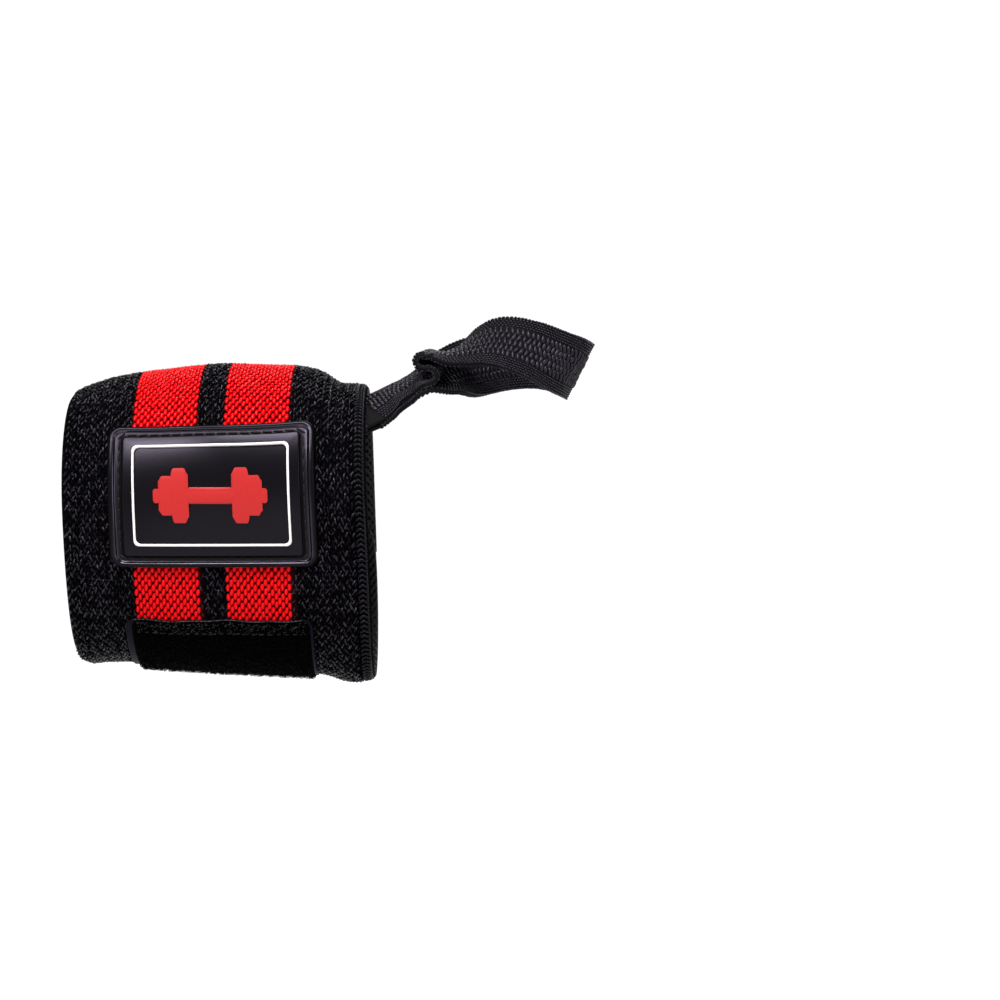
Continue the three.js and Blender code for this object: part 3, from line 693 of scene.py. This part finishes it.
kink = free_station(kink_row, 0)
curl = []
for right, up, turn_from, turn_to, count in (
    # each arc's middle in curl radii from the kink, and its turns in degrees
    (0, 0, -60, 80, 5),
    (-1, 2, 265, 100, 6),
):
    for turn in np.radians(np.linspace(turn_from, turn_to, count)):
        offset = np.array([right + math.cos(turn), 0, up + math.sin(turn)]) * curl_radius
        curl.append((kink[0] + offset, kink[1], kink[2]))
stations = (
    [(exit_middle[1], exit_across, exit_cup)]
    + [free_station(row, 1) for row in stem_rows]
    + curl
    + [free_station(row, 0) for row in front_rows]
    + [free_station(row, 0) for row in reversed(stem_rows)]
    + [(exit_middle[0], exit_across, exit_cup)]
)
knots = np.array([station[0] for station in stations])


def spline_point(t):
    """A point of the centripetal Catmull-Rom curve through the knots, at t from 0 to 1."""
    place = t * (len(knots) - 1)
    i = np.minimum(place.astype(int), len(knots) - 2)
    w = (place - i)[:, None]
    padded = np.vstack([2 * knots[0] - knots[1], knots, 2 * knots[-1] - knots[-2]])
    p0, p1, p2, p3 = (padded[i + k] for k in range(4))
    d0, d1, d2 = (distance(a, b)[:, None] ** 0.5 for a, b in ((p0, p1), (p1, p2), (p2, p3)))
    t1 = ((p1 - p0) / d0 - (p2 - p0) / (d0 + d1) + (p2 - p1) / d1) * d1
    t2 = ((p2 - p1) / d1 - (p3 - p1) / (d1 + d2) + (p3 - p2) / d2) * d1
    return p1 + t1 * w + (3 * (p2 - p1) - 2 * t1 - t2) * w**2 + (2 * (p1 - p2) + t1 + t2) * w**3


fine_t = np.linspace(0, 1, 2400)
fine_points = spline_point(fine_t)
fine_length = np.concatenate([[0], np.cumsum(distance(fine_points[1:], fine_points[:-1]))])
strap_step = 0.0005
free_length = fine_length[-1]
t = np.interp(np.linspace(0, free_length, round(free_length / strap_step) + 1), fine_length, fine_t)
centre = spline_point(t)
tangent = np.gradient(centre, axis=0)
tangent /= np.linalg.norm(tangent, axis=1, keepdims=True)
place = t * (len(stations) - 1)
k = np.minimum(place.astype(int), len(stations) - 2)
share = (place - k)[:, None]
station_across, station_cup = (np.array([station[part] for station in stations]) for part in (1, 2))
across = station_across[k] * (1 - share) + station_across[k + 1] * share
across -= tangent * (across * tangent).sum(axis=1, keepdims=True)
across /= np.linalg.norm(across, axis=1, keepdims=True)
cup = station_cup[k] * (1 - share[:, 0]) + station_cup[k + 1] * share[:, 0]
cup *= np.where(np.arange(len(t)) < len(t) / 2, 1, -1)  # the strap's other face is up on its way back
away = np.cross(tangent, across)
strap_sides = np.linspace(-1, 1, 21)
free_rows = (
    centre[:, None]
    + across[:, None] * strap_sides[None, :, None] * strap_width / 2
    - away[:, None] * (cup[:, None] * strap_sides[None] ** 2)[..., None]
)
inner = 0.5 - strap_tuck / band_width
tucked_along = np.arange(inner, 0.5 - strap_step / band_width / 2, strap_step / band_width)
tucked_rows = [np.array([tucked_point(ply, a, strap_sides) for a in tucked_along]) for ply in (1, 0)]
strap_grid = np.concatenate([tucked_rows[0], free_rows, tucked_rows[1][::-1]])
ahead_grid = np.gradient(strap_grid, axis=0)
aside_grid = np.gradient(strap_grid, axis=1)
ahead_grid /= np.linalg.norm(ahead_grid, axis=2, keepdims=True)
aside_grid /= np.linalg.norm(aside_grid, axis=2, keepdims=True)
up_grid = np.cross(ahead_grid, aside_grid)
up_grid /= np.linalg.norm(up_grid, axis=2, keepdims=True)
strap_length = strap_step * (len(strap_grid) - 1)


def on_strap(grid, length, side):
    """A value of one of the strap's grids at lengths along it and at sides from -1 to 1."""
    row = np.clip(length / strap_step, 0, len(grid) - 1.001)
    column = np.clip((side + 1) / 2 * (len(strap_sides) - 1), 0, len(strap_sides) - 1.001)
    i, j = row.astype(int), column.astype(int)
    u, v = (row - i)[:, None], (column - j)[:, None]
    here = grid[i, j] * (1 - v) + grid[i, j + 1] * v
    beyond = grid[i + 1, j] * (1 - v) + grid[i + 1, j + 1] * v
    return here * (1 - u) + beyond * u


strap_edge = [(-1, 0), (-0.99, 0.35), (-0.96, 0.46)]
strap_half = strap_edge + [(side, 0.5) for side in np.linspace(-0.9, 0.9, 13)] + [(0.96, 0.46), (0.99, 0.35)]
strap_section = np.array(strap_half + [(-side, -up) for side, up in strap_half])
strap_lengths = np.arange(0, strap_length, 0.001)
ground_share = 0.8  # of the strap's thickness: its floats stand on the rest


def strap_place(i, j):
    side, height = strap_section[j, 0], strap_section[j, 1] * strap_thickness * ground_share
    middle, up = (on_strap(grid, strap_lengths[i], side) for grid in (strap_grid, up_grid))
    return middle + up * height[:, None]


strap = wrapped_grid("thumb_strap", strap_section[:, 0] * strap_width / 2, strap_lengths, strap_place)
# Woven polypropylene: dull and nearly black in the gaps between its floats.
material, shader = new_material(
    "woven polypropylene tape, charcoal", Base_Color=linear("#040405"), Roughness=0.75, Specular_IOR_Level=0.1
)
fit(strap, "strap_webbing", material, node="thumb_loop")

# The strap's ribs: polypropylene yarns that show as five rows of short raised floats across its middle, set
# like bricks, and as five columns of fine beads along each edge. Both faces are alike.
# Polypropylene yarn: smoother than the band's polyester, so it shows a broader, waxy shine.
strap_yarn, shader = new_material(
    "polypropylene yarn, charcoal", Roughness=0.42, Specular_IOR_Level=0.28, Specular_Tint=linear(violet)
)
set_inputs(shader, Base_Color=mottled(strap_yarn, "#050406", "#131014", 0.7))
bare_end = strap_tuck - 0.004  # the hidden part of each sewn end has no floats


def strap_floats(name, shape, rows, pitch, size, turned):
    """Floats on both faces, in lengthwise rows at distances from the strap's middle."""
    floats = []
    for number, x in enumerate(rows):
        length = np.arange(bare_end + (number % 2) * pitch / 2, strap_length - bare_end, pitch)
        side = np.full(len(length), x / (strap_width / 2))
        point, ahead, aside, up = (
            on_strap(grid, length, side) for grid in (strap_grid, ahead_grid, aside_grid, up_grid)
        )
        for face in (1, -1):
            place = point + up * face * (strap_thickness * ground_share / 2)
            along, across = (aside, ahead * face) if turned else (ahead, aside * -face)
            lean = 0.22 * (1 if number % 2 else -1) if turned else 0
            floats.append((place, along, across, np.full(len(place), lean)))
    place, along, across, lean = (np.concatenate(part) for part in zip(*floats))
    sizes = size * float_random.normal(1, 0.09, (len(place), 3))
    lean = lean + float_random.normal(0, 0.12, len(place))
    scatter(name, "strap_webbing", strap_yarn, shape, place, along, across, sizes, lean)


small_grain = bead_shape(5, 4, 0.5)
middle_columns = np.arange(-2, 3) * 0.0019
edge_columns = [side * x for side in (-1, 1) for x in (0.0082, 0.0075, 0.0068, 0.0061, 0.0054)]
strap_floats("strap_ribs", grain, middle_columns, 0.0014, (0.0026, 0.00122, 0.0009), True)
strap_floats("strap_edges", small_grain, edge_columns, 0.0009, (0.00095, 0.00072, 0.00065), False)

# Rubber patch: one soft moulded piece with a rounded rim, a sewing groove and a raised face. It is sewn
# through the groove to the front of the outer turn.
patch_corner = 0.0034
groove_height, panel_height = 0.0007, 0.0017
corner_rise = 0.0019


def patch_length(x, up):
    """Where the patch lies along the band. Its stiff top edge stays straight, so its corners rise."""
    rise = corner_rise * (x / (patch_width / 2)) ** 2
    return patch_middle + up + rise * np.clip(up / (patch_height / 2), 0, 1)


def on_patch(x, up, height):
    """A point over the outer turn: up is measured along the band from the patch's middle."""
    return band_point(angle_at(patch_length(x, up)), x / band_width, band_thickness + height)


def rounded_rectangle(width, height, corner, steps=(10, 7, 14)):
    """Points of a rectangle with round corners, from the middle of its right side and counter-clockwise."""
    x, y = width / 2 - corner, height / 2 - corner
    turn = np.linspace(0, math.pi / 2, steps[1], endpoint=False)
    quarter = np.concatenate(
        [
            np.stack([np.full(steps[0], width / 2), np.linspace(0, y, steps[0], endpoint=False)], axis=1),
            np.stack([x + corner * np.cos(turn), y + corner * np.sin(turn)], axis=1),
            np.stack([np.linspace(x, 0, steps[2], endpoint=False), np.full(steps[2], height / 2)], axis=1),
        ]
    )
    left = np.concatenate([[(0, height / 2)], quarter[:0:-1]]) * (-1, 1)
    below = np.concatenate([[(width / 2, 0)], quarter[1:]]) * (-1, -1)
    right = np.concatenate([[(0, height / 2)], quarter[:0:-1]]) * (1, -1)
    return np.concatenate([quarter, left, below, right])


patch_rows = np.array(
    # inset from the side, share of the corner's radius, how far the row is drawn in, and height, in mm
    [(0, 1, share, 0) for share in (0.05, 0.35, 0.7)]
    + [
        (0, 1, 1, 0),
        (0, 1, 1, 0.7),
        (0.08, 1, 1, 1.05),
        (0.28, 0.95, 1, 1.33),
        (0.6, 0.9, 1, 1.5),
        (1.0, 0.8, 1, 1.55),
        (1.4, 0.72, 1, 1.45),
        (1.68, 0.66, 1, 1.22),
        (1.85, 0.6, 1, 0.92),
        (2.1, 0.55, 1, 0.72),
        (2.4, 0.5, 1, 0.7),
        (3.6, 0.35, 1, 0.7),
        (3.85, 0.3, 1, 0.74),
        (3.98, 0.28, 1, 0.95),
        (4.02, 0.27, 1, 1.4),
        (4.1, 0.26, 1, 1.6),
        (4.25, 0.25, 1, 1.69),
        (4.5, 0.24, 1, 1.72),
    ]
    + [(4.5, 0.24, share, 1.72) for share in (0.85, 0.7, 0.55, 0.4, 0.25, 0.1, 0.03)]
)
end_share = 0.78  # the rim and groove are narrower at the top and bottom than at the sides
outlines = np.array(
    [
        rounded_rectangle(patch_width - 2 * inset, patch_height - 2 * inset * end_share, corner)
        for inset, corner in patch_rows[:, :2] * (0.001, patch_corner)
    ]
)


def patch_place(i, j):
    flat = outlines[i, j] * patch_rows[i, 2][:, None]
    return on_patch(flat[:, 0], flat[:, 1], clearance + patch_rows[i, 3] * 0.001)


uv_step = 0.001  # the patch's UV map counts its rows, a millimetre to each
across, along = (np.arange(count) * uv_step for count in (outlines.shape[1], len(patch_rows)))
patch = wrapped_grid("rubber_patch_moulded", across, along, patch_place)
# Moulded rubber: satin on its outer wall and grainy face, polished on the rim and its inner slope, which show
# as a bright line round the face, and dull in the groove.
rubber, shader = new_material(
    "moulded soft rubber, black", Base_Color=linear("#030303"), Specular_Tint=linear(violet)
)
uv = add(rubber, "ShaderNodeUVMap", {"uv_map": patch.data.uv_layers.active.name})
row = add(rubber, "ShaderNodeSeparateXYZ", Vector=uv.outputs[0])
row_share = add(
    rubber, "ShaderNodeMath", {"operation": "DIVIDE"}, _0=row.outputs["Y"], _1=len(patch_rows) * uv_step
)
finish_rows = [
    # row of the patch, roughness and specular level: outer wall, rim's crest, inner slope, groove and face
    (6, 0.4, 0.04),
    (8, 0.3, 0.17),
    (10.5, 0.16, 0.9),
    (14, 0.5, 0.05),
    (18, 0.31, 0.19),
]
for column, socket in ((1, "Roughness"), (2, "Specular IOR Level")):
    ramp = add(rubber, "ShaderNodeValToRGB", Fac=row_share.outputs[0])
    stops = ramp.color_ramp.elements
    for number, finish in enumerate(finish_rows):
        stop = stops[number] if number < 2 else stops.new(finish[0] / len(patch_rows))
        stop.position = finish[0] / len(patch_rows)
        stop.color = (finish[column],) * 3 + (1,)
    rubber.node_tree.links.new(ramp.outputs["Color"], shader.inputs[socket])
here = add(rubber, "ShaderNodeTexCoord").outputs["Object"]
grainy = add(rubber, "ShaderNodeTexNoise", Vector=here, Scale=2.5 * per_mm, Detail=2)
bump = add(rubber, "ShaderNodeBump", Height=grainy.outputs[0], Distance=0.00002, Strength=0.4)
set_inputs(shader, Normal=bump.outputs[0])
fit(patch, "patch_rubber", rubber, node="rubber_patch")

# Patch stitches: black bonded polyester thread, which holds the patch on the band. It is lockstitched by
# machine through the groove all round, about 3 mm to a stitch.
# Bonded thread: smooth and slightly waxy, so each stitch shows a faint line of light.
bonded_thread, shader = new_material(
    "bonded polyester thread, black", Base_Color=linear("#0e0d10"), Roughness=0.45, Specular_IOR_Level=0.15
)
groove_inset, stitch_pitch = 0.003, 0.003
stitch_lift = 0.00008  # of a stitch's middle above the groove's floor
groove = rounded_rectangle(
    patch_width - 2 * groove_inset, patch_height - 2 * groove_inset * end_share, patch_corner * 0.45
)
loop = np.vstack([groove, groove[:1]])
run = np.concatenate([[0], np.cumsum(distance(loop[1:], loop[:-1]))])
count = round(run[-1] / stitch_pitch)
at = (np.arange(count) + 0.5) * run[-1] / count
flat = np.stack([np.interp(at, run, loop[:, axis]) for axis in (0, 1)], axis=1)
nearby = np.stack([np.interp(at + 0.0003, run, loop[:, axis], period=run[-1]) for axis in (0, 1)], axis=1)
way = (nearby - flat) / distance(nearby, flat)[:, None]
place, ahead, aside = band_frame(
    angle_at(patch_length(flat[:, 0], flat[:, 1])),
    flat[:, 0] / band_width,
    band_thickness + clearance + groove_height + stitch_lift,
)
along = aside * way[:, :1] + ahead * way[:, 1:]
across = np.cross(along, np.cross(aside, ahead))
stitch = bead_shape(8, 7, 0.8)
size = (0.0026, 0.0006, 0.00055) * float_random.normal(1, 0.03, (count, 3))
scatter("patch_thread", "patch_rubber", bonded_thread, stitch, place, along, across, size, np.zeros(count))

# Line round the patch's face: a thin frame of white rubber, moulded in one with the patch and standing
# proud of its face. Its top edges are round.
inlay_base = 2 * clearance + panel_height - 0.00045
# a section of the line: inset and height, in mm
line_rows = np.array(
    [(0.1, 0), (0.1, 0.7), (0.2, 0.86), (0.34, 0.92), (0.5, 0.92), (0.62, 0.86), (0.7, 0.7), (0.7, 0)]
)
side_inset, end_inset, line_corner = 0.0066, 0.0056, 0.0014  # of the line's outer edge from the patch's edge
line_outlines = np.array(
    [
        rounded_rectangle(patch_width - 2 * (side_inset + x), patch_height - 2 * (end_inset + x), line_corner)
        for x in line_rows[:, 0] * 0.001
    ]
)


def line_place(i, j):
    flat = line_outlines[j, i]
    return on_patch(flat[:, 0], flat[:, 1], inlay_base + line_rows[j, 1] * 0.001)


line = wrapped_grid(
    "white_line",
    np.arange(len(line_rows)) * 0.0005,
    np.arange(line_outlines.shape[1]) * 0.001,
    line_place,
    ring=True,
)
# White rubber: matt and clean, so it stays flat white beside the glossy rim.
material, shader = new_material("moulded soft rubber, white", Base_Color=linear("#dedddb"), Roughness=0.42)
fit(line, "white_rubber", material, node="patch_frame_inlay")

# Dumbbell on the patch's face: a plain raised shape of red rubber, moulded in one with the patch. It has a
# bar and three discs of falling size at each end, each with round corners.
dumbbell_width, dumbbell_height, dumbbell_rise = 0.030, 0.014, 0.00092
disc_rows = [
    # start and stop as shares of half the width, and half the height as a share of the height
    (0.42, 0.66, 0.5),
    (0.66, 0.87, 0.36),
    (0.87, 1, 0.13),
]
corner_length, corner_height, disc_step = 0.03, 0.045, 0.0004
right_half = [(0.42, 0.15)]
for start, stop, half in disc_rows:
    for end, way, shares in ((start + disc_step, 1, (0, 0.3, 1)), (stop, -1, (1, 0.3, 0))):
        for share in shares:
            right_half.append((end + way * corner_length * share, half - corner_height * (1 - share) ** 2))
dumbbell_rows = np.array([(-out, half) for out, half in reversed(right_half)] + right_half)


def flat_grid(name, columns, rows, place):
    """A grid of columns and rows of points which place(i, j) puts on a surface."""
    piece, i, j = new_grid(name, columns - 1, rows - 1)
    piece.data.vertices.foreach_set("co", np.asarray(place(i, j), float).ravel())
    piece.data.update()
    bpy.ops.object.shade_smooth()
    return piece


def thicken(piece, thickness, round_by):
    """Gives a sheet its thickness on the outer side, and round edges."""
    solidify = piece.modifiers.new("thickness", "SOLIDIFY")
    solidify.thickness = thickness
    solidify.offset = 1
    bevel = piece.modifiers.new("round edge", "BEVEL")
    bevel.width = round_by
    bevel.segments = 3
    bevel.limit_method = "ANGLE"
    bevel.angle_limit = math.radians(50)
    for name in ("thickness", "round edge"):
        bpy.ops.object.modifier_apply(modifier=name)
    mend(piece)
    bpy.ops.object.shade_smooth_by_angle(angle=math.radians(50))


def dumbbell_place(i, j):
    out, half = dumbbell_rows[i].T
    return on_patch(out * dumbbell_width / 2, half * dumbbell_height * (j / 6 - 1), inlay_base)


dumbbell = flat_grid("red_dumbbell", len(dumbbell_rows), 13, dumbbell_place)
thicken(dumbbell, dumbbell_rise, 0.00014)
# Red rubber: a soft satin, with a faint light edge where it rises.
material, shader = new_material(
    "moulded soft rubber, red", Base_Color=linear("#a41c1b"), Roughness=0.45, Specular_IOR_Level=0.25
)
fit(dumbbell, "red_rubber", material, node="patch_dumbbell_inlay")

# Loop tape: a 50 mm knitted tape sewn down the outer turn, whose stitched front end shows under the
# patch. Its woven margins are bare and a little translucent, and black pile stands between them.
selvage, tape_base, pile_height = 0.0025, 0.0006, 0.0011
panel_length = panel_front - panel_back
tape_corner, wave_reach = 0.003, 0.006
tape_columns, tape_rows = 41, 61


def front_wave(x):
    """The loop tape's free end isn't cut quite straight."""
    return 0.00025 * np.sin(x / tape_width * 13 + 1.2) + 0.00015 * np.sin(x / tape_width * 29)


def tape_angle(x, back):
    """The winding angle of places on the loop tape, at distances back from its free end."""
    return angle_at(panel_front + front_wave(x) * np.clip(1 - back / wave_reach, 0, 1) - back)


def on_tape(x, back, height):
    return band_point(tape_angle(x, back), x / band_width, turn_pitch + height)


def round_end(x_share, back, corner, half):
    """Half widths drawn in to round the tape's free corners."""
    short = np.clip(corner - back, 0, corner)
    return x_share * (half - corner + np.sqrt(np.maximum(corner**2 - short**2, 0)))


backs = np.concatenate([np.linspace(0, 0.004, 12), np.linspace(0.005, panel_length, tape_rows - 12)])


def tape_place(i, j):
    share = 1 - i / (tape_columns - 1) * 2
    return on_tape(round_end(share, backs[j], tape_corner, tape_width / 2), backs[j], 0)


tape = flat_grid("loop_tape", tape_columns, tape_rows, tape_place)
thicken(tape, tape_base, 0.00015)
# Knitted nylon: a dense flat knit, whose bare margins catch a little violet-grey light.
material, shader = new_material(
    "knitted nylon tape, grey violet",
    Base_Color=linear("#0a070f"),
    Roughness=0.55,
    Specular_IOR_Level=0.07,
    Specular_Tint=linear("#d9c2ff"),
)
fit(tape, "loop_pile", material, node="loop_panel")

# Loop pile: a thick mat of brushed nylon loops, knitted into the tape between its margins. A seam flattens
# it near the free end.
pile_half = tape_width / 2 - selvage * 0.45
pile_shift = 0.0005  # the left margin shows wider than the right one
# the pile's height near the free end: mm back from it, and share of the full height
hem = np.array([(0, 0.15), (0.8, 0.45), (3.2, 0.45), (3.8, 0.25), (4.6, 0.7), (6.2, 1), (200, 1)])
pile_shoulder = 0.0012
pile_foot = tape_base * 0.9


def pile_share(x, back):
    edge = np.clip((pile_half - np.abs(x - pile_shift)) / pile_shoulder, 0, 1)
    return np.interp(back * 1000, hem[:, 0], hem[:, 1]) * np.sqrt(1 - (1 - edge) ** 2)


pile_backs = np.concatenate([np.linspace(0.0002, 0.006, 25), np.linspace(0.0063, panel_length - 0.001, 150)])
pile_sides = np.linspace(1, -1, 121)


def pile_place(i, j):
    x = pile_shift + round_end(pile_sides[i], pile_backs[j], tape_corner, pile_half)
    lumps = float_random.normal(0, 0.00006, len(i))
    return on_tape(x, pile_backs[j], pile_foot + (pile_height * 0.8 + lumps) * pile_share(x, pile_backs[j]))


pile = flat_grid("loop_pile", len(pile_sides), len(pile_backs), pile_place)
solidify = pile.modifiers.new("thickness", "SOLIDIFY")
solidify.thickness = 0.0003
solidify.offset = -1
bpy.ops.object.modifier_apply(modifier="thickness")
# Brushed pile: it takes up nearly all light, so it is the blackest part.
material, shader = new_material(
    "brushed nylon loop pile, black", Base_Color=linear("#010101"), Roughness=0.95, Specular_IOR_Level=0.01
)
fit(pile, "loop_pile", material)

# The pile's loops: bent nylon filaments standing all over the pile, knitted in and brushed up. They stand
# at random turns and leans, and are drawn thicker than real ones, or they wouldn't show.
# Nylon filament: black and smooth, with a rare short glint.
filament, shader = new_material(
    "nylon filament, black", Base_Color=linear("#010102"), Roughness=0.45, Specular_IOR_Level=0.03
)
tuft_count = 6500
filament_radius = 0.07  # a share of the loop's length
filament_sides = 3
# x and z along an arch, and how thick the filament is there
arch = [(-0.5, 0, 0.7), (-0.28, 0.95, 1), (0.28, 0.95, 1), (0.5, 0, 0.7)]
tuft_corners = []
for x, z, thick in arch:
    for turn in 0.5 + np.arange(filament_sides) * 2 * math.pi / filament_sides:
        c, s = math.cos(turn) * filament_radius, math.sin(turn) * 0.09
        tuft_corners.append((x + c * thick, s, z + c / 2))
tuft_faces = [[2, 1, 0], [9, 10, 11]]
for k in range(len(arch) - 1):
    for m in range(filament_sides):
        here, beyond = k * filament_sides, (k + 1) * filament_sides
        following = (m + 1) % filament_sides
        tuft_faces.append([here + m, here + following, beyond + following, beyond + m])
tuft = (np.array(tuft_corners), tuft_faces)
x = pile_shift + float_random.uniform(-pile_half, pile_half, tuft_count) * 0.985
back = float_random.uniform(0.0006, panel_length - 0.002, tuft_count)
share = pile_share(x, back)
place, ahead, aside = band_frame(
    tape_angle(x, back), x / band_width, turn_pitch + pile_foot + pile_height * 0.62 * share
)
turn = float_random.uniform(0, 2 * math.pi, tuft_count)
size = np.stack(
    [
        float_random.uniform(0.0005, 0.0010, tuft_count),
        float_random.uniform(0.0006, 0.0010, tuft_count),
        float_random.uniform(0.0004, 0.001, tuft_count) * (0.35 + 0.65 * share),
    ],
    axis=1,
)
scatter("pile_loops", "loop_pile", filament, tuft, place, ahead, aside, size, turn)

# Cut filaments: the nylon that the tape's free end was cut through, flattened by its seam. Stray ones lie all
# over the seam's strip, and a fine line of them marks the cut edge itself.
# Cut nylon: painted paler than the pile, as painted glints, so the stray ones show as short violet-grey
# flecks and the line at the cut edge as a thin painted highlight. It has a shine of its own as well.
glinting_cut_nylon, shader = new_material(
    "cut nylon filament, painted glints", Base_Color=linear("#19161e"), Roughness=0.35
)
stray_count = 300
edge_back = 0.00012
edge_x = np.arange(-0.0222, 0.0223, 0.0011)
edge_count = len(edge_x)
x = np.concatenate([pile_shift + float_random.uniform(-0.95, 0.95, stray_count) * pile_half, edge_x])
back = np.concatenate(
    [float_random.triangular(0.0003, 0.001, 0.0052, stray_count), np.full(edge_count, edge_back)]
)
on_pile = np.where(back > edge_back, pile_height * 0.42, 0)
place, ahead, aside = band_frame(tape_angle(x, back), x / band_width, turn_pitch + tape_base + on_pile)
turn = np.concatenate([float_random.uniform(0, math.pi, stray_count), np.full(edge_count, math.pi / 2)])
size = np.repeat([(0.0006, 0.00014, 0.00013), (0.0012, 0.00024, 0.0002)], (stray_count, edge_count), axis=0)
size = size * float_random.normal(1, 0.2, size.shape)
scatter("cut_filaments", "loop_pile", glinting_cut_nylon, small_grain, place, ahead, aside, size, turn)

# Loop tape's stitches: one row of black polyester thread across its free end, sewn by machine through the
# tape and the band. It sinks into the pile.
# Polyester thread: smooth, so it shows small glints, a little paler than the tape.
thread, shader = new_material(
    "polyester thread, black", Base_Color=linear("#121014"), Roughness=0.4, Specular_IOR_Level=0.25
)
x = np.arange(-0.0215, 0.0216, 0.0022)
place, ahead, aside = band_frame(
    angle_at(panel_front + front_wave(x) * 0.45 - 0.0039),
    x / band_width,
    turn_pitch + tape_base + pile_height * 0.3,
)
size = (0.0013, 0.00036, 0.0003) * float_random.normal(1, 0.15, (len(x), 3))
lean = float_random.normal(0, 0.08, len(x))
scatter("loop_tape_thread", "loop_pile", thread, stitch, place, aside, -ahead, size, lean)

# Hook tape: a 50 mm nylon tape sewn over the band's outer end at the back. Its hooks face the loop tape
# under it, and its own back is a plain fine weave.
hook_reach, hook_thickness, hook_corner = 0.038, 0.0012, 0.004
hook_ramp = 0.006  # the length over which it steps down from the band's end to the loop tape
end_length = length_at(band_end)
hook_columns, hook_rows = 31, 59
pasts = np.linspace(-hook_lap, hook_reach, hook_rows)


def hook_place(i, j):
    past = pasts[j]
    on_panel = smoothstep(past, 0, hook_ramp)
    under = band_thickness + (tape_base + pile_height - band_thickness) * on_panel + clearance
    x = round_end(i / (hook_columns - 1) * 2 - 1, hook_reach - past, hook_corner, tape_width / 2)
    return band_point(angle_at(end_length + past), x / band_width, under)


hook = flat_grid("hook_tape", hook_columns, hook_rows, hook_place)
thicken(hook, hook_thickness, 0.0002)
# Woven nylon: a fine rib along the tape, with less shine than the webbing, so it shows as a plain dark field.
material, shader = new_material(
    "woven nylon tape, black", Base_Color=linear("#030303"), Roughness=0.55, Specular_IOR_Level=0.07
)
here = add(material, "ShaderNodeTexCoord").outputs["Object"]
rib_pitch = 0.0008
rib_scale = 2 * math.pi / 20 / rib_pitch  # a wave texture repeats 20 times in 2 pi
rib = add(material, "ShaderNodeTexWave", {"bands_direction": "X"}, Vector=here, Scale=rib_scale)
bump = add(material, "ShaderNodeBump", Height=rib.outputs[0], Distance=0.0001, Strength=0.5)
set_inputs(shader, Normal=bump.outputs[0])
fit(hook, "hook_tape", material, node="hook_tab")

# Hook tape's stitches: a box of polyester thread round the part that is sewn to the band, and a diagonal
# cross in it, as a machine sews such an end in one go. It is the same thread as the loop tape's.
box_side, box_back, box_front = 0.0225, -0.0175, -0.002  # from the tape's middle and the band's end
corners = np.array(
    [(-box_side, box_back), (box_side, box_back), (box_side, box_front), (-box_side, box_front)]
)
runs = [(corners[a], corners[b]) for a, b in ((0, 1), (1, 2), (2, 3), (3, 0), (0, 2), (1, 3))]
spots, ways = [], []
for start, stop in runs:
    count = round(float(distance(start, stop)) / 0.0025)
    shares = (np.arange(count) + 0.5) / count
    spots.append(start + (stop - start) * shares[:, None])
    ways.append(np.tile((stop - start) / distance(start, stop), (count, 1)))
spots, ways = np.concatenate(spots), np.concatenate(ways)
place, ahead, aside = band_frame(
    angle_at(end_length + spots[:, 1]), spots[:, 0] / band_width, band_thickness + clearance + hook_thickness
)
along = aside * ways[:, :1] + ahead * ways[:, 1:]
across = np.cross(along, np.cross(aside, ahead))
size = (0.0021, 0.0005, 0.0005) * float_random.normal(1, 0.04, (len(spots), 3))
scatter("hook_tape_thread", "hook_tape", thread, stitch, place, along, across, size, np.zeros(len(spots)))
